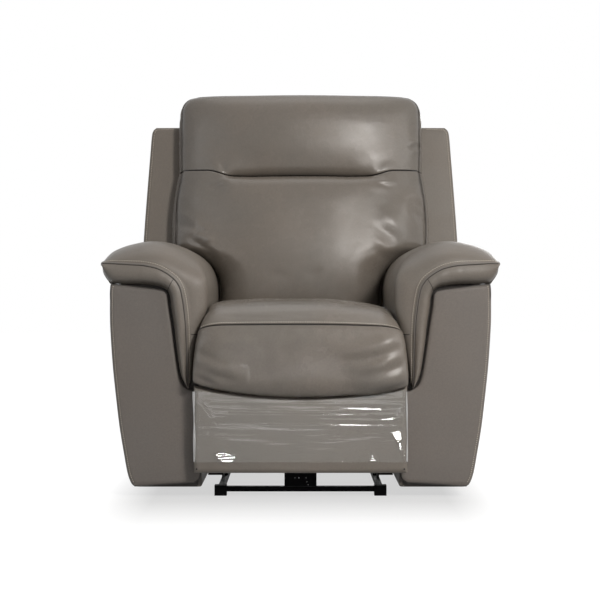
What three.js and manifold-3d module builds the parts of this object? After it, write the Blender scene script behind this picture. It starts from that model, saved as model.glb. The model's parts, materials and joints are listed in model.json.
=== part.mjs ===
// A power recliner armchair in millimetres, +Z up, +X to the sitter's left, the front facing -Y.
// Depths are counted rearwards from the front of the arms, heights from the floor, and widths from
// the middle plane. The whole chair is then centred over the middle of its own outline.
import * as THREE from 'three';
import { mergeVertices } from 'three/addons/utils/BufferGeometryUtils.js';
import Module from 'manifold-3d';

const wasm = await Module();
wasm.setup();

// Running and seating clearances
const seatClearance = 0.3;
const pinClearance = 0.3;
const cutOverrun = 20;
const stepRun = 0.5;
const pinSides = 12;
const roundSides = 16;
const weldTolerance = 1e-4;

// Steel plates lie side by side in layers outwards from the base rails
const plateThickness = 4;
const plateSpacing = 6;
const firstPlateHalfWidth = 200;
const layerStart = (layer) => firstPlateHalfWidth + layer * plateSpacing;
const layerEnd = (layer) => layerStart(layer) + plateThickness;
const baseLayer = 0;
const swingLayer = 1;
const seatPlateLayer = 2;
const driveLayer = 3;
const lowerLinkLayer = 4;

// Base
const railInnerHalfWidth = 190.7;
const railWidth = 15;
const railBottom = 10;
const railHeight = 12.5;
const railFrontDepth = 50;
const crossTubeDepth = 20;
const footHalfWidthInner = 184;
const footWidth = 30;
const footLength = 30;
const footWall = 2.7;
const earFootLength = 60;
const earTopRadius = 12;

// Swing links that carry the seat on the base
const swingLength = 120;
const swingLean = THREE.MathUtils.degToRad(14.5);
const frontSwingDepth = 265;
const rearSwingDepth = 520;
const railPastSwingLength = 120;
const railRearDepth = rearSwingDepth + railPastSwingLength;
const swingPivotHeight = 95;
const swingHalfWidth = 10;
const pinRadius = 5;
const rivetHeadRadius = 8;
const rivetHeadThickness = 1.3;

// Arms
const armInnerHalfWidth = 244;
const armOuterHalfWidth = 471;
const armBoxFrontDepth = 25;
const armBoxTop = 526.5;
const armTopRearDepth = 640;
const armRearDepth = 735;
const armRearNotchTop = 430;
const armRearNotchBottom = 350;
const armBottom = 24;
const armInnerBottom = 36;
const armWall = 14;
const armPanelFrontDepth = 14;
const armPanelBevel = 3;
const padInnerHalfWidth = 231;
const padOverhangWidth = 18.5;
const padOuterHalfWidth = armOuterHalfWidth + padOverhangWidth;
const padCrestHeight = 634;
const padLegTipHeight = 271;
const padUndersideArch = 0.8;
const padRollDepth = 110;
const padBoxingDepth = 12;
const padRearRound = 30;
const panelToPadGap = 2;

// Arm brackets
const bracketThickness = 5;
const bracketLength = 30;
const bracketFlangeTop = 75;
const frontBracketDepth = 305;
const rearBracketDepth = 560;

// Seat
const seatFrameFrontDepth = 0;
const seatFrameRearDepth = 490;
const seatFrameBottom = 264;
const seatFrameTop = 325;
const seatRailWidth = 45;
const seatPlateTop = 290;
const seatPlateFrontDepth = 20;
const seatPlateBottomMargin = 14;
const seatPlateNoseHeight = 238;
const hingeDepth = 640;
const hingeHeight = 300;
const hingeHubRadius = 22;
const hingePinRadius = 6;
const seatSpringCount = 4;
const seatSpringWaves = 7;
const seatSpringWire = 4;
const seatSpringSwing = 26;
const seatSpringDrop = 1.5;
const cushionSideGap = 2;
const seatCushionRearGap = 145;
const seatCushionRearDepth = hingeDepth - seatCushionRearGap;
const seatCrestHeight = 490;
const seatEdgeDrop = 26;
const noseReach = 60;
const noseHalfWidth = 264;
const noseBottomHeight = 253;
const noseCornerRise = 28;
const noseBackDepth = 4;
const lipBackDepth = 34;
const lipTopHeight = 296;
const noseTopHeight = 440;

// Footrest linkage, closed at rest. Link angles are measured up from straight forwards.
const torqueTubeAxisDepth = 70;
const torqueTubeAxisHeight = 235;
const torqueTubeRadius = 11;
const torqueTubeEndGap = 3;
const spindleRadius = 6;
const driveLinkLength = 180;
const driveLinkAngle = THREE.MathUtils.degToRad(229.7);
const longLinkLength = 180;
const longLinkAngle = THREE.MathUtils.degToRad(16.9);
const steadyPivotTailLength = 50;
const steadyLinkDepth = 108.8;
const steadyLinkHeight = 216;
const lowerPivotDriveLinkLength = 196;
const lowerPivotOffsetWidth = 6;
const lowerPivotDropHeight = 30;
const lowerPivotSetBackDepth = 2;
const linkHalfWidth = 9;
const linkPinRadius = 4;
const linkHeadRadius = 7.2;
const steadyPinRadius = 3.5;
const steadyPivotSlack = 4.4;
const lowerPivotSlack = 3.7;
const slackRingWall = 3.5;
const steadyHeadRadius = 10;
const lowerHeadRadius = 11;
const steadyLinkHalfWidth = 8;

// Footrest
const footrestHalfWidth = 261;
const footrestBottom = 64;
const footrestTopGap = 3;
const footrestFrontDepth = 32;
const footrestBackDepth = 4;
const footrestEdgeRound = 7;
const boardHalfWidth = 208;
const boardFrontDepth = 3;
const boardBackDepth = 12;
const boardTop = 225;
const boardBottom = 84;
const flangeInnerHalfWidth = 185;
const flangeThickness = 3;
const flangeHeight = 32;
const lowerFlangeBottom = 86;
const upperFlangeBottom = 188;
const bracketPlateBackDepth = 30;
const filmThickness = 0.6;
const filmGap = 0.3;
const filmBottom = 91;
const filmSideInset = 3;

// Back, in its own upright frame: Z up the back, -Y towards the sitter, the hinge at its origin
const backRake = THREE.MathUtils.degToRad(12);
const boardFront = 22;
const backBoardThickness = 24;
const backBoardBottom = 30;
const backBoardTop = 680;
const backBoardNarrowHalfWidth = 205.7;
const backBoardWideHalfWidth = 300;
const wingBottom = 175;
const wingTop = 695;
const wingRear = 80;
const wingTopHalfWidth = 431;
const wingBottomHalfWidth = 456;
const wingBevel = 8;
const shellThickness = 5.5;
const shellSkirtBottom = -120;
const shellSkirtHalfWidth = 226;
const shellInset = 7;
const backBracketEndGap = 3;
const backBracketHalfWidth = 17;
const backBarRear = 31;
const backBarUp = 15.5;
const backBarRadius = 9.6;
const crankUp = -40.7;
const crankRear = 44.1;
const crankPinRadius = 6;
const crankEarInner = 12;
const crankEarThickness = 6;
const crankEarHalfWidth = 14;
const crankSlack = 5;
const backEdgeThickness = 74;
const lumbarBottom = 34;
const lumbarNarrowHalfWidth = 226;
const lumbarWideHalfWidth = 364;
const lumbarShoulder = 336;
const lumbarTop = 518;
const lumbarCrown = 172;
const lumbarLowCrown = 150;
const creaseCrown = 96;
const headGap = 2;
const headHalfWidth = 347;
const headCrown = 152;
const headTop = 778;
const headCornerRadius = 40;
const headRearReach = 60;

// Drive: one linear actuator from the front tube to the crank under the back
const motorPivotDepth = 100;
const motorPivotHeight = 95;
const motorPlateHalfWidth = 40;
const motorPlateFrontDepth = 52;
const motorPlateThickness = 4;
const motorPlateTop = 110;
const motorEarInner = 18;
const motorEarThickness = 4;
const motorEarRadius = 12;
const motorSlotWidth = 8;
const motorSlotHeight = 4;
const motorSlotPitch = 20;
const gearCaseFront = 22;
const gearCaseRear = 100;
const gearCaseHalfWidth = 28;
const gearCaseHalfHeight = 24;
const motorRadius = 30;
const motorLength = 92;
const motorAxisAlong = 62;
const motorDrop = 34;
const motorEyeHalfWidth = 15;
const actuatorTubeRadius = 15;
const actuatorTubeEnd = 395;
const actuatorBoreStart = 195;
const rodRadius = 9;
const rodStart = 300;
const rodEyeRadius = 16;
const rodEyeHalfWidth = 9;

// Control panel and power inlet
const controlFrontDepth = 190;
const controlLength = 90;
const controlBottom = 430;
const controlHeight = 44;
const controlThickness = 4;
const buttonRadius = 10;
const buttonPitch = 36;
const buttonProud = 3;
const buttonTravel = 2;
const inletHalfWidth = 14;
const inletHeight = 16.8;
const inletContactSides = 6;
const inletLength = 16;
const inletBoreRadius = 5;
const inletBoreDepth = 10;
const inletPinRadius = 1.2;
const inletSidePlace = 90;

const leather = new THREE.MeshStandardMaterial({ color: 0x7b746c, roughness: 0.48, metalness: 0 });
const blackSteel = new THREE.MeshStandardMaterial({ color: 0x17171a, roughness: 0.42, metalness: 0.6 });
const plywood = new THREE.MeshStandardMaterial({ color: 0xb49a72, roughness: 0.8, metalness: 0 });
const springSteel = new THREE.MeshStandardMaterial({ color: 0x6e7072, roughness: 0.4, metalness: 0.9 });
const blackPlastic = new THREE.MeshStandardMaterial({ color: 0x151516, roughness: 0.5, metalness: 0 });
const brightRod = new THREE.MeshStandardMaterial({ color: 0xb8babd, roughness: 0.25, metalness: 1 });
const clearFilm = new THREE.MeshStandardMaterial({ color: 0xd9d6d2, roughness: 0.1, metalness: 0 });
const rubber = new THREE.MeshStandardMaterial({ color: 0x101011, roughness: 0.75, metalness: 0 });

// Solids and booleans
function toSolid(geometry) {
  const bare = geometry.index ? geometry.clone() : geometry;
  bare.deleteAttribute('normal');
  bare.deleteAttribute('uv');
  const merged = mergeVertices(bare, weldTolerance);
  const index = merged.index.array;
  const kept = [];
  for (let i = 0; i < index.length; i += 3) {
    const [a, b, c] = [index[i], index[i + 1], index[i + 2]];
    if (a !== b && b !== c && a !== c) kept.push(a, b, c);
  }
  const mesh = new wasm.Mesh({
    numProp: 3,
    vertProperties: new Float32Array(merged.attributes.position.array),
    triVerts: new Uint32Array(kept),
  });
  return new wasm.Manifold(mesh);
}

function toGeometry(solid) {
  const mesh = solid.getMesh();
  const geometry = new THREE.BufferGeometry();
  geometry.setAttribute('position', new THREE.BufferAttribute(new Float32Array(mesh.vertProperties), 3));
  geometry.setIndex(new THREE.BufferAttribute(new Uint32Array(mesh.triVerts), 1));
  geometry.computeVertexNormals();
  return geometry;
}

const join = (...geometries) => toGeometry(geometries.map(toSolid).reduce((a, b) => a.add(b)));
const common = (...geometries) => toGeometry(geometries.map(toSolid).reduce((a, b) => a.intersect(b)));
const cut = (geometry, ...tools) => toGeometry(
  tools.map(toSolid).reduce((a, b) => a.subtract(b), toSolid(geometry)));

// A copy on the other side of the middle plane, with its faces turned out again
function mirrored(geometry) {
  const copy = geometry.index ? geometry.toNonIndexed() : geometry.clone();
  copy.deleteAttribute('normal');
  copy.deleteAttribute('uv');
  copy.scale(-1, 1, 1);
  const places = copy.attributes.position.array;
  for (let i = 0; i < places.length; i += 9) {
    for (let k = 0; k < 3; k += 1) {
      const kept = places[i + 3 + k];
      places[i + 3 + k] = places[i + 6 + k];
      places[i + 6 + k] = kept;
    }
  }
  return mergeVertices(copy, weldTolerance);
}

// Basic shapes, each given by its limits or its outline
function block(x0, x1, y0, y1, z0, z1) {
  const box = new THREE.BoxGeometry(x1 - x0, y1 - y0, z1 - z0);
  return box.translate((x0 + x1) / 2, (y0 + y1) / 2, (z0 + z1) / 2);
}

const outlineShape = (points) => new THREE.Shape(points.map(([a, b]) => new THREE.Vector2(a, b)));

// An outline in depth and height, carried sideways from x0 to x1
function sidePrism(shape, x0, x1) {
  const prism = new THREE.ExtrudeGeometry(shape, {
    depth: x1 - x0,
    bevelEnabled: false,
    curveSegments: pinSides / 2,
  });
  const sideways = new THREE.Matrix4().makeBasis(
    new THREE.Vector3(0, 1, 0), new THREE.Vector3(0, 0, 1), new THREE.Vector3(1, 0, 0));
  return prism.applyMatrix4(sideways).translate(x0, 0, 0);
}

// An outline in width and height, carried rearwards from y0 to y1, its edges rounded by a bevel
function frontPrism(points, y0, y1, bevel = 0) {
  const prism = new THREE.ExtrudeGeometry(outlineShape(points), {
    depth: y1 - y0 - 2 * bevel,
    bevelEnabled: bevel > 0,
    bevelSize: bevel,
    bevelThickness: bevel,
    bevelOffset: -bevel,
    bevelSegments: 2,
  });
  const rearwards = new THREE.Matrix4().makeBasis(
    new THREE.Vector3(1, 0, 0), new THREE.Vector3(0, 0, 1), new THREE.Vector3(0, -1, 0));
  return prism.applyMatrix4(rearwards).translate(0, y1 - bevel, 0);
}

// A round bar along X
function crossBar(radius, x0, x1, depth, height, sides = pinSides) {
  const bar = new THREE.CylinderGeometry(radius, radius, x1 - x0, sides);
  return bar.rotateZ(-Math.PI / 2).translate((x0 + x1) / 2, depth, height);
}

// A round bar along Y
function longBar(radius, y0, y1, x, z, sides = pinSides) {
  return new THREE.CylinderGeometry(radius, radius, y1 - y0, sides).translate(x, (y0 + y1) / 2, z);
}

// A flat link between two pivots, each end round
function linkPlate(from, to, fromRadius, toRadius, x0, x1) {
  const along = new THREE.Vector2().subVectors(to, from);
  const heading = along.angle();
  const shape = new THREE.Shape();
  shape.absarc(from.x, from.y, fromRadius, heading + Math.PI / 2, heading + 1.5 * Math.PI, false);
  shape.absarc(to.x, to.y, toRadius, heading - Math.PI / 2, heading + Math.PI / 2, false);
  return sidePrism(shape, x0, x1);
}

// A pivot hole through a plate, and a riveted pin that fills such a hole from the neighbouring plate
const pivotHole = (place, radius, layer) => crossBar(
  radius, layerStart(layer) - stepRun, layerEnd(layer) + stepRun, place.x, place.y);

function rivet(place, radius, headRadius, fromLayer, toLayer) {
  const inwards = toLayer < fromLayer;
  const root = inwards ? layerStart(fromLayer) + stepRun : layerEnd(fromLayer) - stepRun;
  const farFace = inwards ? layerStart(toLayer) - seatClearance : layerEnd(toLayer) + seatClearance;
  const headEnd = inwards ? farFace - rivetHeadThickness : farFace + rivetHeadThickness;
  const shank = crossBar(radius, Math.min(root, farFace), Math.max(root, farFace), place.x, place.y);
  const head = crossBar(headRadius, Math.min(farFace, headEnd), Math.max(farFace, headEnd), place.x, place.y);
  return join(shank, head);
}

// A closed skin over rings of points that all have the same count; the two end rings are filled flat
function loft(rings, place) {
  const count = rings[0].points.length;
  const places = [];
  for (const ring of rings) {
    for (const [a, b] of ring.points) places.push(...place(a, b, ring.at));
  }
  const index = [];
  for (let r = 0; r + 1 < rings.length; r += 1) {
    for (let k = 0; k < count; k += 1) {
      const next = (k + 1) % count;
      const [a, b] = [r * count + k, r * count + next];
      const [c, d] = [a + count, b + count];
      index.push(a, b, d, a, d, c);
    }
  }
  const capOf = (ring) => {
    const contour = ring.points.map(([a, b]) => new THREE.Vector2(a, b));
    return THREE.ShapeUtils.triangulateShape(contour, []).map((t) => (
      THREE.ShapeUtils.isClockWise(t.map((k) => contour[k])) ? [t[0], t[2], t[1]] : t));
  };
  const firstContour = rings[0].points.map(([a, b]) => new THREE.Vector2(a, b));
  const firstClockwise = THREE.ShapeUtils.isClockWise(firstContour);
  const last = (rings.length - 1) * count;
  for (const [a, b, c] of capOf(rings[0])) index.push(...(firstClockwise ? [a, b, c] : [a, c, b]));
  for (const [a, b, c] of capOf(rings[rings.length - 1])) {
    index.push(...(firstClockwise ? [last + a, last + c, last + b] : [last + a, last + b, last + c]));
  }
  const geometry = new THREE.BufferGeometry();
  geometry.setAttribute('position', new THREE.BufferAttribute(new Float32Array(places), 3));
  geometry.setIndex(index);
  return facingOut(geometry);
}

// Six times the volume inside the faces tells which way they face
function facingOut(geometry) {
  const at = geometry.attributes.position;
  const index = geometry.index.array;
  const [a, b, c] = [new THREE.Vector3(), new THREE.Vector3(), new THREE.Vector3()];
  let sixVolumes = 0;
  for (let i = 0; i < index.length; i += 3) {
    a.fromBufferAttribute(at, index[i]);
    b.fromBufferAttribute(at, index[i + 1]);
    c.fromBufferAttribute(at, index[i + 2]);
    sixVolumes += a.dot(b.cross(c));
  }
  if (sixVolumes < 0) {
    for (let i = 0; i < index.length; i += 3) {
      const kept = index[i + 1];
      index[i + 1] = index[i + 2];
      index[i + 2] = kept;
    }
  }
  return geometry;
}

const mix = (a, b, share) => a + (b - a) * share;
const clampShare = (share) => Math.min(1, Math.max(0, share));

const chair = new THREE.Group();
const backrest = new THREE.Group();
backrest.position.set(0, hingeDepth, hingeHeight);
backrest.rotation.x = -backRake;
chair.add(backrest);

function add(name, geometry, material, parent = chair) {
  const mesh = new THREE.Mesh(geometry, material);
  mesh.name = name;
  parent.add(mesh);
  return mesh;
}

function addPair(name, geometry, material, parent = chair) {
  add(`${name}_left`, geometry, material, parent);
  add(`${name}_right`, mirrored(geometry), material, parent);
}

// Pivots, as depth and height
const swingTop = (depth) => new THREE.Vector2(
  depth + swingLength * Math.sin(swingLean), swingPivotHeight + swingLength * Math.cos(swingLean));
const frontSwingBase = new THREE.Vector2(frontSwingDepth, swingPivotHeight);
const rearSwingBase = new THREE.Vector2(rearSwingDepth, swingPivotHeight);
const frontSwingSeat = swingTop(frontSwingDepth);
const rearSwingSeat = swingTop(rearSwingDepth);
const hinge = new THREE.Vector2(hingeDepth, hingeHeight);
const forwards = (angle, length) => new THREE.Vector2(-Math.cos(angle) * length, Math.sin(angle) * length);
const torqueAxis = new THREE.Vector2(torqueTubeAxisDepth, torqueTubeAxisHeight);
const elbow = torqueAxis.clone().add(forwards(driveLinkAngle, driveLinkLength));
const footrestPivot = elbow.clone().add(forwards(longLinkAngle, longLinkLength));
const steadyEnd = elbow.clone().add(forwards(longLinkAngle, -steadyPivotTailLength));
const steadyStart = new THREE.Vector2(steadyLinkDepth, steadyLinkHeight);
const lowerStart = torqueAxis.clone().add(forwards(driveLinkAngle, lowerPivotDriveLinkLength))
  .add(forwards(driveLinkAngle + Math.PI / 2, lowerPivotOffsetWidth));
const lowerEnd = new THREE.Vector2(
  footrestPivot.x + lowerPivotSetBackDepth, footrestPivot.y - lowerPivotDropHeight);

// Base: two rails with pivot ears, two cross tubes and four end feet
function makeBase() {
  const railTop = railBottom + railHeight;
  const railOuterHalfWidth = railInnerHalfWidth + railWidth;
  const rail = block(
    railInnerHalfWidth, railOuterHalfWidth, railFrontDepth, railRearDepth, railBottom, railTop);
  const ear = (pivot) => {
    const shape = new THREE.Shape();
    shape.moveTo(pivot.x + earFootLength / 2, railTop - railHeight / 2);
    shape.lineTo(pivot.x + earFootLength / 2, railTop + railHeight / 2);
    shape.absarc(pivot.x, pivot.y, earTopRadius, 0, Math.PI, false);
    shape.lineTo(pivot.x - earFootLength / 2, railTop + railHeight / 2);
    shape.lineTo(pivot.x - earFootLength / 2, railTop - railHeight / 2);
    return sidePrism(shape, layerStart(baseLayer), layerEnd(baseLayer));
  };
  const railWithEars = cut(
    join(rail, ear(frontSwingBase), ear(rearSwingBase)),
    pivotHole(frontSwingBase, pinRadius + pinClearance, baseLayer),
    pivotHole(rearSwingBase, pinRadius + pinClearance, baseLayer));
  addPair('base_rail', railWithEars, blackSteel);

  const tubeHalfLength = railInnerHalfWidth - seatClearance;
  const frontTubeRear = railFrontDepth + crossTubeDepth;
  const rearTubeFront = railRearDepth - crossTubeDepth;
  add('front_cross_tube', block(
    -tubeHalfLength, tubeHalfLength, railFrontDepth, frontTubeRear, railBottom, railTop), blackSteel);
  add('rear_cross_tube', block(
    -tubeHalfLength, tubeHalfLength, rearTubeFront, railRearDepth, railBottom, railTop), blackSteel);

  const footOuter = footHalfWidthInner + footWidth;
  const footTop = railTop + seatClearance + footWall;
  const tubePocket = (y0, y1) => block(
    footHalfWidthInner - cutOverrun, railInnerHalfWidth + seatClearance, y0 - seatClearance,
    y1 + seatClearance, railBottom - seatClearance, railTop + seatClearance);
  const railPocket = block(
    railInnerHalfWidth - seatClearance, railOuterHalfWidth + seatClearance, railFrontDepth - seatClearance,
    railRearDepth + seatClearance, railBottom - seatClearance, railTop + seatClearance);
  const frontFootStart = railFrontDepth - (footLength - crossTubeDepth) / 2;
  const rearFootEnd = railRearDepth + (footLength - crossTubeDepth) / 2;
  const frontFoot = cut(
    block(footHalfWidthInner, footOuter, frontFootStart, frontFootStart + footLength, 0, footTop),
    railPocket, tubePocket(railFrontDepth, frontTubeRear));
  const rearFoot = cut(
    block(footHalfWidthInner, footOuter, rearFootEnd - footLength, rearFootEnd, 0, footTop),
    railPocket, tubePocket(rearTubeFront, railRearDepth));
  addPair('front_foot', frontFoot, rubber);
  addPair('rear_foot', rearFoot, rubber);
}

// Motor bracket: a slotted plate over the front tube with two ears behind it
function makeMotorBracket() {
  const plateBottom = railBottom + railHeight + seatClearance;
  const plateRear = motorPlateFrontDepth + motorPlateThickness;
  const plate = block(
    -motorPlateHalfWidth, motorPlateHalfWidth, motorPlateFrontDepth, plateRear, plateBottom, motorPlateTop);
  const pivot = new THREE.Vector2(motorPivotDepth, motorPivotHeight);
  const earShape = () => {
    const shape = new THREE.Shape();
    shape.moveTo(plateRear - stepRun, pivot.y - motorEarRadius);
    shape.absarc(pivot.x, pivot.y, motorEarRadius, -Math.PI / 2, Math.PI / 2, false);
    shape.lineTo(plateRear - stepRun, pivot.y + motorEarRadius);
    return shape;
  };
  const ears = [-1, 1].map((side) => {
    const near = side * motorEarInner;
    const far = side * (motorEarInner + motorEarThickness);
    return sidePrism(earShape(), Math.min(near, far), Math.max(near, far));
  });
  const slots = [-1, 0, 1].map((place) => block(
    place * motorSlotPitch - motorSlotWidth / 2, place * motorSlotPitch + motorSlotWidth / 2,
    motorPlateFrontDepth - stepRun, plateRear + stepRun,
    motorPlateTop - 2 * motorEarRadius, motorPlateTop - 2 * motorEarRadius + motorSlotHeight));
  const pinReach = motorEarInner + motorEarThickness - stepRun;
  const pin = crossBar(pinRadius, -pinReach, pinReach, pivot.x, pivot.y);
  add('motor_bracket', join(cut(plate, ...slots), ...ears, pin), blackSteel);
}

function makeSwingLinks() {
  const link = (base, seat) => join(
    linkPlate(base, seat, swingHalfWidth, swingHalfWidth, layerStart(swingLayer), layerEnd(swingLayer)),
    rivet(base, pinRadius, rivetHeadRadius, swingLayer, baseLayer),
    rivet(seat, pinRadius, rivetHeadRadius, swingLayer, seatPlateLayer));
  addPair('front_swing_link', link(frontSwingBase, frontSwingSeat), blackSteel);
  addPair('rear_swing_link', link(rearSwingBase, rearSwingSeat), blackSteel);
}

// Arms. The outer side leans in towards the floor: shares of the width across the arm and of its height.
const armSideShares = [
  [0.74, 0], [0.79, 0.035], [0.845, 0.163], [0.9, 0.31], [0.948, 0.5], [0.974, 0.627], [1, 0.8]];
const armToeShares = [[0.04, 0], [0, 0.028]];

const armAcross = (share) => mix(armInnerHalfWidth, armOuterHalfWidth, share);
const armUp = (share) => mix(armBottom, armBoxTop, share);

function armOutline(inset, drop) {
  const toe = armToeShares.map(([across, up]) => [
    armAcross(across) + inset, mix(armInnerBottom, armBoxTop, up) - drop]);
  const side = armSideShares.map(([across, up], k) => [
    armAcross(across) - inset, armUp(up) - (k === 0 ? drop : 0)]);
  return [toe[1], toe[0], ...side,
    [armOuterHalfWidth - inset, armBoxTop - inset], [armInnerHalfWidth + inset, armBoxTop - inset]];
}

function makeArmBodies() {
  const sideSolid = (inset) => sidePrism(outlineShape([
    [armBoxFrontDepth + inset, -cutOverrun],
    [armRearDepth - inset, -cutOverrun],
    [armRearDepth - inset, armRearNotchBottom - inset],
    [armTopRearDepth - inset, armRearNotchTop - inset],
    [armTopRearDepth - inset, armBoxTop + cutOverrun],
    [armBoxFrontDepth + inset, armBoxTop + cutOverrun],
  ]), armInnerHalfWidth - cutOverrun, armOuterHalfWidth + cutOverrun);
  const outer = common(frontPrism(armOutline(0, 0), armBoxFrontDepth, armRearDepth), sideSolid(0));
  const hollow = common(
    frontPrism(armOutline(armWall, cutOverrun), armBoxFrontDepth + armWall, armRearDepth - armWall),
    sideSolid(armWall));
  addPair('arm_body', cut(outer, hollow), leather);
}

// The arm pad: shares across the pad, inner side to outer tip, and up from the tip of its leg to its crest.
// Each outline starts at the outer tip, goes over the top and down the inner side.
const padWeltShares = [
  [1, 0.843], [0.925, 0.846], [0.847, 0.844], [0.75, 0.84], [0.673, 0.837], [0.615, 0.835], [0.538, 0.826],
  [0.468, 0.813], [0.414, 0.793], [0.36, 0.771], [0.286, 0.73], [0.244, 0.678], [0.22, 0.609], [0.209, 0.548],
  [0.193, 0.438], [0.186, 0.289], [0.184, 0.107], [0.178, 0]];
const padFullShares = [
  [1, 0.854], [0.971, 0.884], [0.913, 0.928], [0.809, 0.964], [0.704, 0.986], [0.603, 1], [0.495, 1],
  [0.4, 0.988], [0.29, 0.957], [0.17, 0.908], [0.081, 0.846], [0.031, 0.777], [0.004, 0.7], [0, 0.62],
  [0.01, 0.52], [0.06, 0.36], [0.12, 0.16], [0.165, 0.02]];
// Behind the front leg the inner side ends beside the seat cushion
const padRearLegShares = [[0, 0.58], [0.004, 0.52], [0.012, 0.46], [0.022, 0.4], [0.03, 0.357]];
// The lower edge of the boxing, from the tip of the leg back to the outer tip
const padBoxingShares = [
  [0.19, -0.003], [0.244, 0.083], [0.29, 0.212], [0.296, 0.289], [0.313, 0.413], [0.344, 0.567],
  [0.36, 0.647], [0.395, 0.672], [0.468, 0.689], [0.615, 0.704], [0.832, 0.706], [0.905, 0.713],
  [0.971, 0.766], [0.994, 0.818]];
const padBoxingMiddleShares = [
  [0.184, 0], [0.214, 0.095], [0.237, 0.21], [0.24, 0.289], [0.253, 0.42], [0.277, 0.56], [0.29, 0.63],
  [0.33, 0.7], [0.42, 0.75], [0.615, 0.77], [0.84, 0.775], [0.92, 0.78], [0.975, 0.8], [0.997, 0.83]];
const padRollShares = [0, 0.05, 0.11, 0.2, 0.35, 0.6, 1];
const padRearShares = [0.4, 0.75, 1];
const padRearFullnessShare = 0.97;
const padRearDrawInShare = 0.15;
const padRearDropShare = 0.3;
const boxPanelPoints = 11;

const padPoint = ([across, up]) => [
  mix(padInnerHalfWidth, padOuterHalfWidth, across), mix(padLegTipHeight, padCrestHeight, up)];

function makeArmPads() {
  const welt = padWeltShares.map(padPoint);
  const full = padFullShares.map(padPoint);
  const legCount = padRearLegShares.length;
  const rearFull = [...full.slice(0, full.length - legCount), ...padRearLegShares.map(padPoint)];
  const boxing = padBoxingShares.map(padPoint);
  const boxingMiddle = padBoxingMiddleShares.map(padPoint);
  const besideBox = armInnerHalfWidth - seatClearance;
  const overBox = armBoxTop + seatClearance;
  // Behind the boxing the pad hugs the arm: five points up its inner side, the rest over its top
  const hugging = boxing.map(([x, z], k) => {
    if (k < legCount) {
      const up = k / (legCount - 1);
      const arch = padUndersideArch * Math.sin(Math.PI * up);
      return [besideBox - arch, mix(rearFull[full.length - 1][1], overBox, up)];
    }
    if (k >= boxPanelPoints) return [x, Math.max(z, overBox + stepRun)];
    const across = (k - legCount + 1) / (boxPanelPoints - legCount);
    const arch = padUndersideArch * Math.sin(Math.PI * across);
    return [mix(besideBox, boxing[boxPanelPoints - 1][0], across), overBox + arch];
  });
  const rolled = (from, to, share) => from.map(([x, z], k) => {
    const swell = Math.sqrt(1 - (1 - share) ** 2);
    return [mix(x, to[k][0], swell), mix(z, to[k][1], swell)];
  });
  const stepShare = (armBoxFrontDepth - seatClearance) / padRollDepth;
  const rings = [
    { at: 0, points: [...welt, ...boxingMiddle] },
    { at: padBoxingDepth, points: [...rolled(welt, full, padBoxingDepth / padRollDepth), ...boxing] },
    {
      at: armBoxFrontDepth - seatClearance - stepRun,
      points: [...rolled(welt, full, stepShare), ...boxing],
    },
  ];
  for (const share of padRollShares) {
    const along = mix(stepShare, 1, share);
    const upper = rolled(welt, rearFull, along).slice(0, -legCount);
    rings.push({ at: along * padRollDepth, points: [...upper, ...rearFull.slice(-legCount), ...hugging] });
  }
  const rearStart = armTopRearDepth - padRearRound;
  const middleAcross = (padInnerHalfWidth + padOuterHalfWidth) / 2;
  for (const share of [0, ...padRearShares]) {
    const shrink = 1 - Math.sqrt(1 - (share * padRearFullnessShare) ** 2);
    const drawnIn = ([x, z]) => [
      x > middleAcross ? mix(x, middleAcross, shrink * padRearDrawInShare) : x,
      mix(z, overBox, shrink * padRearDropShare)];
    rings.push({
      at: mix(rearStart, armTopRearDepth, share),
      points: [
        ...rearFull.map((point, k) => (k >= full.length - legCount ? point : drawnIn(point))),
        ...hugging.map((point, k) => (k >= boxPanelPoints ? drawnIn(point) : point))],
    });
  }
  addPair('arm_pad', loft(rings, (x, z, y) => [x, y, z]), leather);
}

function makeArmFrontPanels() {
  const underPad = padBoxingShares.slice(0, boxPanelPoints).map(padPoint)
    .map(([x, z]) => [x + panelToPadGap, z - panelToPadGap]).reverse();
  const outline = armOutline(0, 0).slice(0, -2);
  outline.push([armOuterHalfWidth, armBoxTop - panelToPadGap * 2]);
  outline.push(...underPad);
  outline.push([armInnerHalfWidth, padLegTipHeight - 3 * panelToPadGap]);
  const panel = frontPrism(outline, armPanelFrontDepth, armBoxFrontDepth - seatClearance, armPanelBevel);
  addPair('arm_front_panel', panel, leather);
}

function makeArmBrackets() {
  const top = railBottom + railHeight + seatClearance;
  const wallFace = armInnerHalfWidth - seatClearance;
  for (const [name, depth] of [['front', frontBracketDepth], ['rear', rearBracketDepth]]) {
    const foot = block(
      railInnerHalfWidth, wallFace, depth, depth + bracketLength, top, top + bracketThickness);
    const flange = block(
      wallFace - bracketThickness, wallFace, depth, depth + bracketLength, top, bracketFlangeTop);
    addPair(`arm_bracket_${name}`, join(foot, flange), blackSteel);
  }
}

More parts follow.
